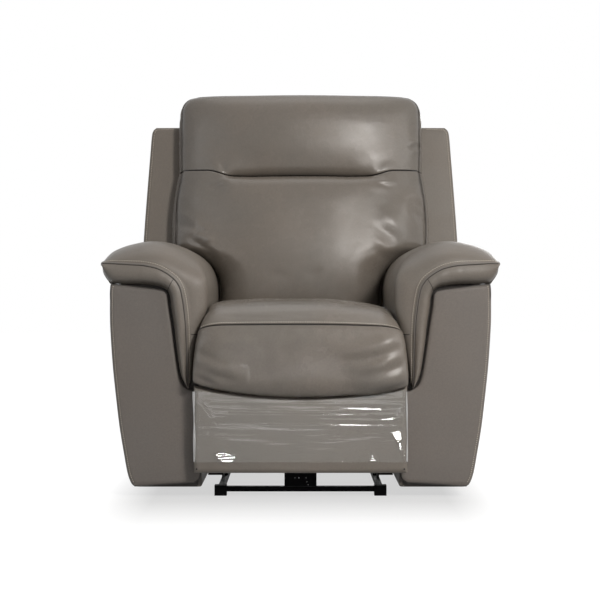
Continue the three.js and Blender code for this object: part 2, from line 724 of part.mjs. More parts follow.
// Seat: side plates, frame, springs and cushion
function makeSeatPlates() {
  const low = frontSwingSeat.y - seatPlateBottomMargin;
  const steadyLow = steadyLinkHeight - seatPlateBottomMargin;
  const shape = new THREE.Shape();
  shape.moveTo(seatPlateFrontDepth, seatPlateTop);
  shape.lineTo(seatPlateFrontDepth, seatPlateNoseHeight);
  shape.lineTo(torqueTubeAxisDepth, torqueTubeAxisHeight - torqueTubeRadius - seatPlateBottomMargin / 2);
  shape.lineTo(steadyLinkDepth, Math.min(low, steadyLow));
  shape.lineTo(rearSwingSeat.x + seatPlateBottomMargin, low);
  shape.lineTo(rearSwingSeat.x + seatPlateBottomMargin * 2, low + seatPlateBottomMargin);
  shape.absarc(hinge.x, hinge.y, hingeHubRadius, -Math.PI / 4, Math.PI / 2, false);
  shape.lineTo(hinge.x - hingeHubRadius, hinge.y + hingeHubRadius);
  shape.lineTo(hinge.x - 2 * hingeHubRadius, seatPlateTop);
  const plate = sidePrism(shape, layerStart(seatPlateLayer), layerEnd(seatPlateLayer));
  const drilled = cut(
    plate,
    pivotHole(torqueAxis, spindleRadius + pinClearance, seatPlateLayer),
    pivotHole(frontSwingSeat, pinRadius + pinClearance, seatPlateLayer),
    pivotHole(rearSwingSeat, pinRadius + pinClearance, seatPlateLayer));
  addPair('seat_side_plate', join(
    drilled,
    rivet(hinge, hingePinRadius, rivetHeadRadius, seatPlateLayer, swingLayer),
    rivet(steadyStart, linkPinRadius, linkHeadRadius, seatPlateLayer, swingLayer)), blackSteel);
}

// A flat strip along a line that starts and ends straight along Y
function ribbon(centreLine, width) {
  const last = centreLine.length - 1;
  const offset = (side) => centreLine.map(([x, y], k) => {
    const run = new THREE.Vector2(0, 1);
    if (k > 0 && k < last) {
      const [before, after] = [centreLine[k - 1], centreLine[k + 1]];
      run.set(after[0] - before[0], after[1] - before[1]).normalize();
    }
    return [x - side * run.y * width / 2, y + side * run.x * width / 2];
  });
  return outlineShape([...offset(1), ...offset(-1).reverse()]);
}

function makeSeatFrame() {
  const half = layerStart(seatPlateLayer) - seatClearance;
  const openHalf = half - seatRailWidth;
  const openFront = seatFrameFrontDepth + seatRailWidth;
  const openRear = seatFrameRearDepth - seatRailWidth;
  const outer = block(-half, half, seatFrameFrontDepth, seatFrameRearDepth, seatFrameBottom, seatFrameTop);
  const opening = block(
    -openHalf, openHalf, openFront, openRear, seatFrameBottom - cutOverrun, seatFrameTop + cutOverrun);
  add('seat_frame', cut(outer, opening), plywood);

  const springTop = seatFrameTop - seatSpringDrop;
  const springBottom = springTop - seatSpringWire;
  const pitch = 2 * openHalf / seatSpringCount;
  const stepsPerWave = 6;
  for (let i = 0; i < seatSpringCount; i += 1) {
    const middle = (i - (seatSpringCount - 1) / 2) * pitch;
    const steps = seatSpringWaves * stepsPerWave;
    const centreLine = [];
    for (let k = 0; k <= steps; k += 1) {
      const turn = 2 * Math.PI * k / stepsPerWave;
      centreLine.push([
        middle + seatSpringSwing / 2 * Math.sin(turn),
        mix(openFront + seatClearance, openRear - seatClearance, k / steps)]);
    }
    const spring = new THREE.ExtrudeGeometry(
      ribbon(centreLine, seatSpringWire), { depth: seatSpringWire, bevelEnabled: false });
    add(`seat_spring_${i + 1}`, spring.translate(0, 0, springBottom), springSteel);
  }
}

// The seat cushion: side profiles in shares, taken across the seat. The nose hangs in front of the frame.
const noseProfileShares = [
  [0.67, 0], [0.87, 0.1], [0.975, 0.3], [1, 0.545], [0.955, 0.76], [0.82, 0.89], [0.68, 0.935], [0.5, 1]];
const seatTopProfileShares = [
  [0, 0.34], [0.1, 0.62], [0.24, 0.84], [0.44, 0.98], [0.65, 1], [0.85, 0.86], [0.96, 0.52], [1, 0]];
const seatRearCornerShare = 0.985;
const seatRearRoundShare = 0.33;
const seatStationShares = [0, 0.28, 0.55, 0.76, 0.9, 0.97, 1];
const noseStationShares = [
  [0, 0.985, 1], [0.45, 0.96, 0.97], [0.74, 0.75, 0.93], [0.89, 0.52, 0.86], [0.97, 0.28, 0.76],
  [1, 0.16, 0.62]];
const noseDropShare = 0.3;
const lipRiseShare = 0.75;
const lipTopShare = 0.9;
const lipReachShare = 0.6;

function makeSeatCushion() {
  const sideHalfWidth = padInnerHalfWidth - cushionSideGap;
  const cushionBottom = seatFrameTop + seatClearance;
  const noseBottomAt = (x) => noseBottomHeight + noseCornerRise * (x / noseHalfWidth) ** 2;
  const lipProfile = (x) => {
    const bottom = noseBottomAt(x);
    return [
      [-noseBackDepth, lipTopHeight],
      [-lipBackDepth, mix(bottom, lipTopHeight, lipRiseShare)],
      [-lipBackDepth - stepRun, bottom + stepRun],
    ];
  };
  const fullProfile = (share) => {
    const x = share * sideHalfWidth;
    const drop = seatEdgeDrop * share ** 6;
    const bottom = noseBottomAt(x);
    const nose = noseProfileShares.map(([out, up]) => [
      -noseReach * out, mix(bottom, noseTopHeight - drop * noseDropShare * up, up)]);
    const top = seatTopProfileShares.map(([back, up]) => [
      seatCushionRearDepth * back, mix(noseTopHeight, seatCrestHeight, up) - drop]);
    const rear = [
      [seatCushionRearDepth, cushionBottom + seatRailWidth * seatRearRoundShare],
      [seatCushionRearDepth * seatRearCornerShare, cushionBottom],
      [-noseBackDepth, cushionBottom],
    ];
    return [...nose, ...top, ...rear, ...lipProfile(x)];
  };
  const noseOnly = ([outShare, topShare, reachShare]) => {
    const x = mix(sideHalfWidth, noseHalfWidth, outShare);
    const bottom = noseBottomAt(x);
    const top = mix(bottom, noseTopHeight, topShare);
    const nose = noseProfileShares.map(([out, up]) => [
      -mix(noseBackDepth, noseReach * reachShare, out), mix(bottom, top, up)]);
    const lipTop = Math.min(lipTopHeight, mix(bottom, top, lipTopShare));
    const backCount = seatTopProfileShares.length + 3;
    const back = [];
    for (let k = 0; k < backCount; k += 1) {
      back.push([-noseBackDepth, mix(top - stepRun, lipTop + stepRun, k / backCount)]);
    }
    const innerReach = Math.min(lipBackDepth, noseReach * reachShare * lipReachShare);
    const lip = [
      [-noseBackDepth, lipTop],
      [-innerReach, mix(bottom, lipTop, lipRiseShare)],
      [-innerReach - stepRun, bottom + stepRun],
    ];
    return { x, points: [...nose, ...back, ...lip] };
  };
  const half = [];
  for (const share of seatStationShares) half.push({ at: share * sideHalfWidth, points: fullProfile(share) });
  for (const [k, station] of noseStationShares.entries()) {
    const { x, points } = noseOnly(station);
    half.push({ at: k === 0 ? x + stepRun : x, points });
  }
  const others = half.slice(1).reverse().map(({ at, points }) => ({ at: -at, points }));
  add('seat_cushion', loft([...others, ...half], (y, z, x) => [x, y, z]), leather);
}

// Footrest linkage: flat links riveted to each other in neighbouring layers
function makeFootrestLinks() {
  const tubeHalf = layerStart(swingLayer) - torqueTubeEndGap;
  const spindleEnd = layerStart(driveLayer) - seatClearance;
  const tube = crossBar(torqueTubeRadius, -tubeHalf, tubeHalf, torqueAxis.x, torqueAxis.y);
  const spindle = crossBar(spindleRadius, -spindleEnd, spindleEnd, torqueAxis.x, torqueAxis.y);
  add('torque_tube', join(tube, spindle), blackSteel);

  const plate = (layer, from, to, fromRadius = linkHalfWidth, toRadius = linkHalfWidth) => linkPlate(
    from, to, fromRadius, toRadius, layerStart(layer), layerEnd(layer));
  const pinHole = (place, layer) => pivotHole(place, linkPinRadius + pinClearance, layer);
  const pin = (place, fromLayer, toLayer) => rivet(
    place, linkPinRadius, linkHeadRadius, fromLayer, toLayer);

  addPair('drive_link', join(
    plate(driveLayer, torqueAxis, lowerStart),
    pin(elbow, driveLayer, seatPlateLayer),
    pin(lowerStart, driveLayer, lowerLinkLayer)), blackSteel);
  addPair('long_link', join(
    cut(plate(seatPlateLayer, steadyEnd, footrestPivot, steadyLinkHalfWidth, steadyLinkHalfWidth),
      pinHole(elbow, seatPlateLayer), pinHole(footrestPivot, seatPlateLayer)),
    rivet(steadyEnd, steadyPinRadius, steadyHeadRadius, seatPlateLayer, swingLayer)), blackSteel);
  const steadyHole = steadyPinRadius + steadyPivotSlack;
  addPair('steady_link', cut(
    plate(swingLayer, steadyStart, steadyEnd, steadyLinkHalfWidth, steadyHole + slackRingWall),
    pinHole(steadyStart, swingLayer),
    pivotHole(steadyEnd, steadyHole, swingLayer)), blackSteel);
  const lowerHole = linkPinRadius + lowerPivotSlack;
  addPair('lower_link', cut(
    plate(lowerLinkLayer, lowerStart, lowerEnd, linkHalfWidth, lowerHole + slackRingWall),
    pinHole(lowerStart, lowerLinkLayer),
    pivotHole(lowerEnd, lowerHole, lowerLinkLayer)), blackSteel);
}

// Footrest: two brackets, a board, its padded panel and the protective film over it
const panelAcrossShares = [-1, -0.97, -0.9, -0.6, -0.3, 0, 0.3, 0.6, 0.9, 0.97, 1];
const panelLowShare = 0.35;
const panelHighShare = 0.7;
const cornerCutShare = 0.3;

function makeFootrest() {
  const boardRear = boardBackDepth;
  const flangeFront = boardRear + seatClearance;
  const flangeRear = flangeFront + flangeThickness;
  const upperFlangeTop = upperFlangeBottom + flangeHeight;
  const plateStart = layerStart(driveLayer);
  const bracketPlate = new THREE.Shape();
  bracketPlate.moveTo(flangeFront, lowerFlangeBottom);
  bracketPlate.lineTo(flangeRear, lowerFlangeBottom);
  bracketPlate.lineTo(bracketPlateBackDepth, lowerEnd.y - linkHalfWidth);
  bracketPlate.lineTo(bracketPlateBackDepth, footrestPivot.y + linkHalfWidth);
  bracketPlate.lineTo(flangeRear, upperFlangeTop);
  bracketPlate.lineTo(flangeFront, upperFlangeTop);
  bracketPlate.lineTo(flangeFront, footrestPivot.y + 2 * linkHalfWidth);
  bracketPlate.lineTo(boardFrontDepth, footrestPivot.y + linkHalfWidth);
  bracketPlate.lineTo(boardFrontDepth, lowerEnd.y - linkHalfWidth);
  bracketPlate.lineTo(flangeFront, lowerEnd.y - 2 * linkHalfWidth);
  const flange = (bottom) => block(
    flangeInnerHalfWidth, layerEnd(driveLayer), flangeFront, flangeRear, bottom, bottom + flangeHeight);
  addPair('footrest_bracket', join(
    sidePrism(bracketPlate, plateStart, layerEnd(driveLayer)),
    flange(lowerFlangeBottom - stepRun),
    flange(upperFlangeBottom),
    rivet(footrestPivot, linkPinRadius, linkHeadRadius, driveLayer, seatPlateLayer),
    rivet(lowerEnd, linkPinRadius, lowerHeadRadius, driveLayer, lowerLinkLayer)), blackSteel);

  add('footrest_board', block(
    -boardHalfWidth, boardHalfWidth, -footrestBackDepth + seatClearance, boardRear, boardBottom, boardTop),
    plywood);

  const topAt = (x) => noseBottomHeight + noseCornerRise * (x / noseHalfWidth) ** 2 - footrestTopGap;
  const round = footrestEdgeRound;
  const cornerCut = round * cornerCutShare;
  const frontAt = (share) => -footrestFrontDepth + round * share ** 10;
  const panelRing = (share) => {
    const x = share * footrestHalfWidth;
    const front = frontAt(share);
    const top = topAt(x);
    const points = [
      [-footrestBackDepth, footrestBottom],
      [front + round, footrestBottom],
      [front + cornerCut, footrestBottom + cornerCut],
      [front, footrestBottom + round],
      [front, mix(footrestBottom, top, panelLowShare)],
      [front, mix(footrestBottom, top, panelHighShare)],
      [front, top - round],
      [front + cornerCut, top - cornerCut],
      [front + round, top],
      [-footrestBackDepth, top],
    ];
    return { at: x, points };
  };
  add('footrest_panel', loft(panelAcrossShares.map(panelRing), (y, z, x) => [x, y, z]), leather);

  const filmRing = (share) => {
    const x = share * (footrestHalfWidth - filmSideInset);
    const front = frontAt(x / footrestHalfWidth);
    const top = topAt(x) - round;
    const levels = [
      filmBottom, mix(filmBottom, top, panelLowShare), mix(filmBottom, top, panelHighShare), top];
    const inner = front - filmGap;
    const outerSide = levels.map((level) => [inner - filmThickness, level]);
    const innerSide = levels.map((level) => [inner, level]).reverse();
    return { at: x, points: [...outerSide, ...innerSide] };
  };
  add('footrest_film', loft(panelAcrossShares.map(filmRing), (y, z, x) => [x, y, z]), clearFilm);
}

// Back frame: a plywood board, and below it the welded hinge frame with the crank that the actuator pushes
function makeBackFrame() {
  const narrow = backBoardNarrowHalfWidth;
  const wide = backBoardWideHalfWidth;
  add('back_board', frontPrism([
    [-narrow, backBoardBottom], [narrow, backBoardBottom], [narrow, wingBottom], [wide, wingBottom],
    [wide, backBoardTop], [-wide, backBoardTop], [-wide, wingBottom], [-narrow, wingBottom],
  ], -boardFront, backBoardThickness - boardFront), plywood, backrest);

  const hingePlace = new THREE.Vector2(0, 0);
  const boardMiddle = backBoardThickness / 2 - boardFront;
  const bracketTopRadius = backBoardThickness / 2 - seatClearance;
  const bracketTop = new THREE.Vector2(boardMiddle, wingBottom - bracketTopRadius - backBracketEndGap);
  const crankPlace = new THREE.Vector2(crankRear, crankUp);
  const barPlace = new THREE.Vector2(backBarRear, backBarUp);
  const [x0, x1] = [layerStart(swingLayer), layerEnd(swingLayer)];
  const side = cut(
    join(
      linkPlate(hingePlace, bracketTop, backBracketHalfWidth, bracketTopRadius, x0, x1),
      linkPlate(hingePlace, barPlace, backBracketHalfWidth, crankEarHalfWidth, x0, x1)),
    pivotHole(hingePlace, hingePinRadius + pinClearance, swingLayer));
  const bar = crossBar(backBarRadius, -x0 - stepRun, x0 + stepRun, barPlace.x, barPlace.y);
  const ear = (start) => linkPlate(
    barPlace, crankPlace, crankEarHalfWidth, crankEarHalfWidth, start, start + crankEarThickness);
  const pinHalf = crankEarInner + stepRun;
  add('back_hinge_frame', join(
    side, mirrored(side), bar, ear(crankEarInner), ear(-crankEarInner - crankEarThickness),
    crossBar(crankPinRadius, -pinHalf, pinHalf, crankPlace.x, crankPlace.y)), blackSteel, backrest);
}

// Side wings and the rear shell. The wing's outer side: shares of the way in from the low to the high half
// width, and of the height.
const wingOutlineShares = [[0, 0], [0.16, 0.34], [0.96, 0.985], [1.2, 1]];

function makeBackSides() {
  const inner = backBoardWideHalfWidth + seatClearance;
  const at = (share) => mix(wingBottomHalfWidth, wingTopHalfWidth, share);
  const heightAt = (share) => mix(wingBottom, wingTop, share);
  const outer = wingOutlineShares.map(([out, up]) => [at(out), heightAt(up)]);
  const wing = [[inner, wingBottom], ...outer, [inner, wingTop]];
  addPair('back_wing', frontPrism(wing, -boardFront, wingRear, wingBevel), leather, backrest);

  const shellFront = wingRear + seatClearance;
  const edge = outer.map(([x, z]) => [x - shellInset, z]);
  edge[0][1] += shellInset;
  edge[edge.length - 1][1] -= shellInset;
  edge[edge.length - 2][1] -= shellInset;
  const rightSide = [
    [shellSkirtHalfWidth, shellSkirtBottom], [shellSkirtHalfWidth, wingBottom + shellInset], ...edge];
  const leftSide = rightSide.map(([x, z]) => [-x, z]).reverse();
  const shell = frontPrism(
    [...rightSide, ...leftSide], shellFront, shellFront + shellThickness, shellThickness / 4);
  add('back_shell', shell, leather, backrest);
}

// Back pillows: rings across the back, each flat behind and crowned in front
const creaseShare = 0.56;
const pillowSideShares = [1, 0.985, 0.955, 0.91, 0.84, 0.74, 0.6, 0.4, 0.2];
const pillowAcrossShares = [...pillowSideShares, 0, ...pillowSideShares.map((share) => -share).reverse()];
const pillowFullness = 4;
const cornerEndShare = 0.98;

function pillowRing(at, halfWidth, rear, edge, crown) {
  const front = pillowAcrossShares.map((across) => [
    halfWidth * across, -mix(edge, crown, Math.sqrt(1 - Math.abs(across) ** pillowFullness))]);
  return { at, points: [[-halfWidth, -rear], [halfWidth, -rear], ...front] };
}

// The lumbar pillow's two stretches: shares of the height, of the way from the narrow to the wide half width,
// of the edge and of the crown. The lower stretch sits between the arms and opens out over their pads.
const lumbarLowShares = [
  [0, -0.11, 0.8, 0.74], [0.03, -0.03, 0.93, 0.9], [0.12, 0, 1, 0.99], [0.3, 0, 1, 1.04], [0.5, 0, 1, 1.09],
  [0.62, 0, 1, 1.11], [0.71, 0.04, 1, 1.12], [0.79, 0.13, 1, 1.13], [0.86, 0.26, 1, 1.13],
  [0.92, 0.44, 1, 1.13], [0.965, 0.68, 0.95, 1.14], [1, 0.88, 0.8, 1.14]];
const lumbarHighShares = [
  [0.06, 0.96, 0.92, 0.99], [0.15, 0.99, 1, 1], [0.35, 1, 1, 1], [0.55, 1, 1, 0.99], [0.72, 0.99, 1, 0.95],
  [0.85, 0.96, 0.95, 0.85], [0.94, 0.9, 0.85, 0.7], [1, 0.86, 0.72, 0.56]];
// The head pillow up to the top of the wings, and the roll over them: shares of the height, of the half width
// or of the reach to the rear, of the edge and of the crown
const headShares = [
  [0, 0.99, 0.7, 0.62], [0.04, 0.995, 0.85, 0.76], [0.14, 1, 1, 0.92], [0.35, 1.003, 1, 1],
  [0.7, 1.003, 1, 1], [1, 1, 1, 0.985]];
const headRollShares = [
  [0, 1, 1, 0.985], [0.25, 0.97, 0.99, 0.93], [0.5, 0.88, 0.93, 0.82], [0.72, 0.68, 0.8, 0.66],
  [0.88, 0.35, 0.6, 0.47], [0.97, 0, 0.35, 0.3], [1, -0.2, 0.2, 0.17]];

function makePillows() {
  const rear = boardFront + seatClearance;
  const edge = backEdgeThickness;
  const lumbarHalf = (share) => mix(lumbarNarrowHalfWidth, lumbarWideHalfWidth, share);
  const lumbar = [];
  for (const [up, half, side, crown] of lumbarLowShares) {
    lumbar.push(pillowRing(
      mix(lumbarBottom, lumbarShoulder, up), lumbarHalf(half), rear, edge * side, lumbarLowCrown * crown));
  }
  for (const [up, half, side, crown] of lumbarHighShares) {
    const towardsCrease = (1 - crown) / (1 - creaseShare);
    lumbar.push(pillowRing(
      mix(lumbarShoulder, lumbarTop, up), lumbarHalf(half), rear, edge * side,
      mix(lumbarCrown, creaseCrown, towardsCrease)));
  }
  add('lumbar_cushion', loft(lumbar, (x, y, z) => [x, y, z]), leather, backrest);

  const headBottom = lumbarTop + headGap;
  const rollStart = wingTop + seatClearance;
  const head = headShares.map(([up, half, side, crown]) => pillowRing(
    mix(headBottom, rollStart, up), headHalfWidth * half, rear, edge * side, headCrown * crown));
  const cornerStart = headTop - headCornerRadius;
  for (const [up, back, side, crown] of headRollShares) {
    const height = mix(rollStart + stepRun, headTop, up);
    const intoCorner = clampShare((height - cornerStart) / headCornerRadius) * cornerEndShare;
    const half = headHalfWidth - headCornerRadius * (1 - Math.sqrt(1 - intoCorner ** 2));
    head.push(pillowRing(height, half, -headRearReach * back, edge * side, headCrown * crown));
  }
  add('head_cushion', loft(head, (x, y, z) => [x, y, z]), leather, backrest);
}

// Drive: the actuator lies from the motor bracket up to the crank under the back
function makeDrive() {
  const crankDepth = hingeDepth + crankRear * Math.cos(backRake) + crankUp * Math.sin(backRake);
  const crankHeight = hingeHeight - crankRear * Math.sin(backRake) + crankUp * Math.cos(backRake);
  const reach = new THREE.Vector2(crankDepth - motorPivotDepth, crankHeight - motorPivotHeight);
  const drive = new THREE.Group();
  drive.position.set(0, motorPivotDepth, motorPivotHeight);
  drive.rotation.x = reach.angle();
  chair.add(drive);

  const eyeRadius = motorEarRadius;
  const eyeHalf = motorEyeHalfWidth;
  const eye = crossBar(eyeRadius, -eyeHalf, eyeHalf, 0, 0);
  const neck = block(-eyeHalf, eyeHalf, 0, gearCaseFront + stepRun, -eyeRadius, eyeRadius);
  const gearCase = block(
    -gearCaseHalfWidth, gearCaseHalfWidth, gearCaseFront, gearCaseRear,
    -gearCaseHalfHeight, gearCaseHalfHeight);
  const drop = block(
    -gearCaseHalfWidth, gearCaseHalfWidth, motorAxisAlong - motorRadius, motorAxisAlong + motorRadius,
    -motorDrop - motorRadius / 2, 0);
  const motor = crossBar(
    motorRadius, gearCaseHalfWidth - stepRun, gearCaseHalfWidth + motorLength, motorAxisAlong, -motorDrop,
    roundSides);
  const pivotBore = crossBar(pinRadius + pinClearance, -eyeHalf - stepRun, eyeHalf + stepRun, 0, 0);
  add('actuator_motor', cut(join(eye, neck, gearCase, drop, motor), pivotBore), blackPlastic, drive);

  const tubeStart = gearCaseRear + seatClearance;
  const tube = longBar(actuatorTubeRadius, tubeStart, actuatorTubeEnd, 0, 0, roundSides);
  const bore = longBar(
    rodRadius + pinClearance, actuatorBoreStart, actuatorTubeEnd + stepRun, 0, 0, roundSides);
  add('actuator_tube', cut(tube, bore), blackSteel, drive);

  const length = reach.length();
  const rod = longBar(rodRadius, rodStart, length - rodEyeRadius / 2, 0, 0, roundSides);
  const rodEye = crossBar(rodEyeRadius, -rodEyeHalfWidth, rodEyeHalfWidth, length, 0, roundSides);
  const boreHalf = rodEyeHalfWidth + stepRun;
  const crankBore = crossBar(crankPinRadius + crankSlack, -boreHalf, boreHalf, length, 0, roundSides);
  add('actuator_rod', cut(join(rod, rodEye), crankBore), brightRod, drive);
}

// Control panel on the outer side of the sitter's right arm, and the power inlet on the rear tube
function makeControls() {
  const face = armOuterHalfWidth + seatClearance;
  const middle = controlFrontDepth + controlLength / 2;
  const level = controlBottom + controlHeight / 2;
  const places = [middle - buttonPitch / 2, middle + buttonPitch / 2];
  const panel = block(
    -face - controlThickness, -face, controlFrontDepth, controlFrontDepth + controlLength, controlBottom,
    controlBottom + controlHeight);
  const holeOuter = -face - controlThickness - stepRun;
  const holes = places.map((depth) => crossBar(
    buttonRadius + pinClearance, holeOuter, -face + stepRun, depth, level, roundSides));
  add('control_panel', cut(panel, ...holes), blackPlastic);
  const names = ['open_button', 'close_button'];
  for (const [k, depth] of places.entries()) {
    const button = crossBar(
      buttonRadius, -face - controlThickness - buttonProud, -face - buttonTravel, depth, level, roundSides);
    add(names[k], button, blackPlastic);
  }

  const inletFront = railRearDepth + seatClearance;
  const inletRear = inletFront + inletLength;
  const inletLow = railBottom - footWall;
  const inletHigh = inletLow + inletHeight;
  const inletLevel = (inletLow + inletHigh) / 2;
  const shell = block(
    inletSidePlace - inletHalfWidth, inletSidePlace + inletHalfWidth, inletFront, inletRear,
    inletLow, inletHigh);
  const socket = longBar(
    inletBoreRadius, inletRear - inletBoreDepth, inletRear + stepRun, inletSidePlace, inletLevel);
  const contact = longBar(
    inletPinRadius, inletRear - inletBoreDepth - stepRun, inletRear - stepRun, inletSidePlace, inletLevel,
    inletContactSides);
  add('power_inlet', join(cut(shell, socket), contact), blackPlastic);
}

makeBase();
makeMotorBracket();
makeSwingLinks();
makeArmBodies();
makeArmFrontPanels();
makeArmPads();
makeArmBrackets();
makeSeatPlates();
makeSeatFrame();
makeSeatCushion();
makeFootrestLinks();
makeFootrest();
makeBackFrame();
makeBackSides();
makePillows();
makeDrive();
makeControls();

// Stand the chair over the middle of its own outline
chair.updateMatrixWorld(true);
const outline = new THREE.Box3().setFromObject(chair, true);
const middle = outline.getCenter(new THREE.Vector3());
chair.position.set(-middle.x, -middle.y, -outline.min.z);
const size = outline.getSize(new THREE.Vector3());
console.log(`width ${size.x.toFixed(1)}, depth ${size.y.toFixed(1)}, height ${size.z.toFixed(1)}`);
console.log(`moved back ${(-middle.y).toFixed(3)}, up ${(-outline.min.z).toFixed(3)}`);

export default chair;
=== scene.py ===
# %% [markdown]
# A power recliner armchair, dressed for a studio photograph
#
# The engineering model already holds every solid of the chair at its real size: the steel base and
# linkage, the arms, the seat, the footrest and the back. This lesson keeps that model as a fixed frame
# and gives each part its looks. Leather covers are modelled as sewn panels, because a leather chair is
# recognised by its seams, its piping and the way the hide is pulled over the foam.

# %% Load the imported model
import json

import bpy
import numpy as np
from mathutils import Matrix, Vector


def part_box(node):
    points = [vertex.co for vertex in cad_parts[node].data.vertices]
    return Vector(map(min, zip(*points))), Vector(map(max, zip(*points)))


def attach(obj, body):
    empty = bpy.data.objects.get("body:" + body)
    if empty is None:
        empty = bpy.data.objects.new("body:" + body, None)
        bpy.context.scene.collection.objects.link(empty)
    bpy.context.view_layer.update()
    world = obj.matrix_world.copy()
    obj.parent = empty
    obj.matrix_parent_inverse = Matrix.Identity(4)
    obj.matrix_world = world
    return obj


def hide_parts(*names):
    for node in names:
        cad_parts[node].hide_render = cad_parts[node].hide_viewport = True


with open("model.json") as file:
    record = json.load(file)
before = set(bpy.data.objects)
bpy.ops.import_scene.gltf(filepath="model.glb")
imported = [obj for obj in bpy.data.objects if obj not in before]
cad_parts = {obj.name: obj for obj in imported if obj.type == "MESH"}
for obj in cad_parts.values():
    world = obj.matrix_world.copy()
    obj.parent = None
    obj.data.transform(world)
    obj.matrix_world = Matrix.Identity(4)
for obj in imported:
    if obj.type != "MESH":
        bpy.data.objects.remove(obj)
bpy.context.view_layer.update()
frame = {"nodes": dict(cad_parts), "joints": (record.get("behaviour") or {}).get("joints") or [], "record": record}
mm = 0.001

# %% [markdown]
# The camera stands where the photographer stood: level, 4.2 m in front of the arms and 0.52 m above the
# floor, with a long lens. The frame was cropped a little low, which is a lens shift and not a tilt, so
# upright edges stay upright.

# %% The camera
FRONT_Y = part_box("arm_pad_left")[0].y
camera_distance = 4.2
camera_height = 0.524
sensor_width = 36.0
width_seen = 1.476
photo_side = 600
horizon_shift_px = -15
sideways_shift_px = -0.5

camera_data = bpy.data.cameras.new("camera")
camera_data.sensor_width = sensor_width
camera_data.lens = sensor_width * camera_distance / width_seen
camera_data.shift_y = horizon_shift_px / photo_side
camera_data.shift_x = sideways_shift_px / photo_side
camera_data.clip_end = 60
camera = bpy.data.objects.new("camera", camera_data)
bpy.context.collection.objects.link(camera)
camera.location = (0, FRONT_Y - camera_distance, camera_height)
camera.rotation_euler = (np.pi / 2, 0, 0)
bpy.context.scene.camera = camera
bpy.context.scene.view_settings.view_transform = "Standard"
print("lens", round(camera_data.lens, 1), "mm")

# %% [markdown]
# Shader maths reads best as plain expressions. A small class wraps a node socket, so that
# `1 - mask * 0.5` adds the Math nodes by itself. Colours and vectors go through Mix nodes instead,
# because a Math node would turn a colour grey.


# %% A socket that can be used in sums
class Wire:
    def __init__(self, tree, socket):
        self.tree = tree
        self.socket = socket

    def sum_with(self, operation, first, second):
        node = self.tree.nodes.new("ShaderNodeMath")
        node.operation = operation
        for slot, value in zip(node.inputs, (first, second)):
            if isinstance(value, Wire):
                self.tree.links.new(value.socket, slot)
            else:
                slot.default_value = value
        return Wire(self.tree, node.outputs[0])

    def __add__(self, other):
        return self.sum_with("ADD", self, other)

    def __radd__(self, other):
        return self.sum_with("ADD", other, self)

    def __sub__(self, other):
        return self.sum_with("SUBTRACT", self, other)

    def __rsub__(self, other):
        return self.sum_with("SUBTRACT", other, self)

    def __mul__(self, other):
        return self.sum_with("MULTIPLY", self, other)

    def __rmul__(self, other):
        return self.sum_with("MULTIPLY", other, self)


class Finish:
    """The shader of a material or a world: one method adds any node, the rest are names for common ones."""

    def __init__(self, owner, output="OutputMaterial"):
        owner.use_nodes = True
        self.owner, self.tree = owner, owner.node_tree
        self.tree.nodes.clear()
        self.out = self.tree.nodes.new("ShaderNode" + output)

    def node(self, kind, settings=None, output=0, **values):
        made = self.tree.nodes.new("ShaderNode" + kind)
        for name, value in (settings or {}).items():
            setattr(made, name, value)
        for name, value in values.items():
            socket = made.inputs[int(name[1:])] if name[0] == "_" else made.inputs[name.replace("_", " ")]
            if isinstance(value, Wire):
                self.tree.links.new(value.socket, socket)
            else:
                socket.default_value = value
        return Wire(self.tree, made.outputs[output])

    def place(self, stretch=(1, 1, 1)):
        spot = self.node("TexCoord", output="Object")
        return self.node("Mapping", Vector=spot, Scale=stretch)

    def noise(self, scale, detail=2.0, stretch=(1, 1, 1), roughness=0.5):
        return self.node("TexNoise", Vector=self.place(stretch), Scale=scale, Detail=detail, Roughness=roughness)

    def between(self, value, low, high):
        return self.node("MapRange", _0=value, _1=low, _2=high)

    def colours(self, share, first, second):
        return self.tint(share, (*first, 1), second)

    def tint(self, share, colour, second):
        return self.node("Mix", {"data_type": "RGBA"}, output=2, _0=share, _6=colour, _7=(*second, 1))

    def bump(self, height, distance, strength=1.0, under=None):
        values = {"Height": height, "Distance": distance, "Strength": strength}
        if under is not None:
            values["Normal"] = under
        return self.node("Bump", **values)

    def rays_seen(self):
        """1 for the rays that see the studio, 0 for those that only light the chair."""
        camera_ray, glossy_ray, transmission_ray = (
            self.node("LightPath", output="Is " + kind + " Ray") for kind in ("Camera", "Glossy", "Transmission"))
        return camera_ray + glossy_ray + transmission_ray

    def show(self, shader):
        self.tree.links.new(shader.socket, self.out.inputs["Surface"])
        return self.owner


def new_finish(name):
    return Finish(bpy.data.materials.new(name))
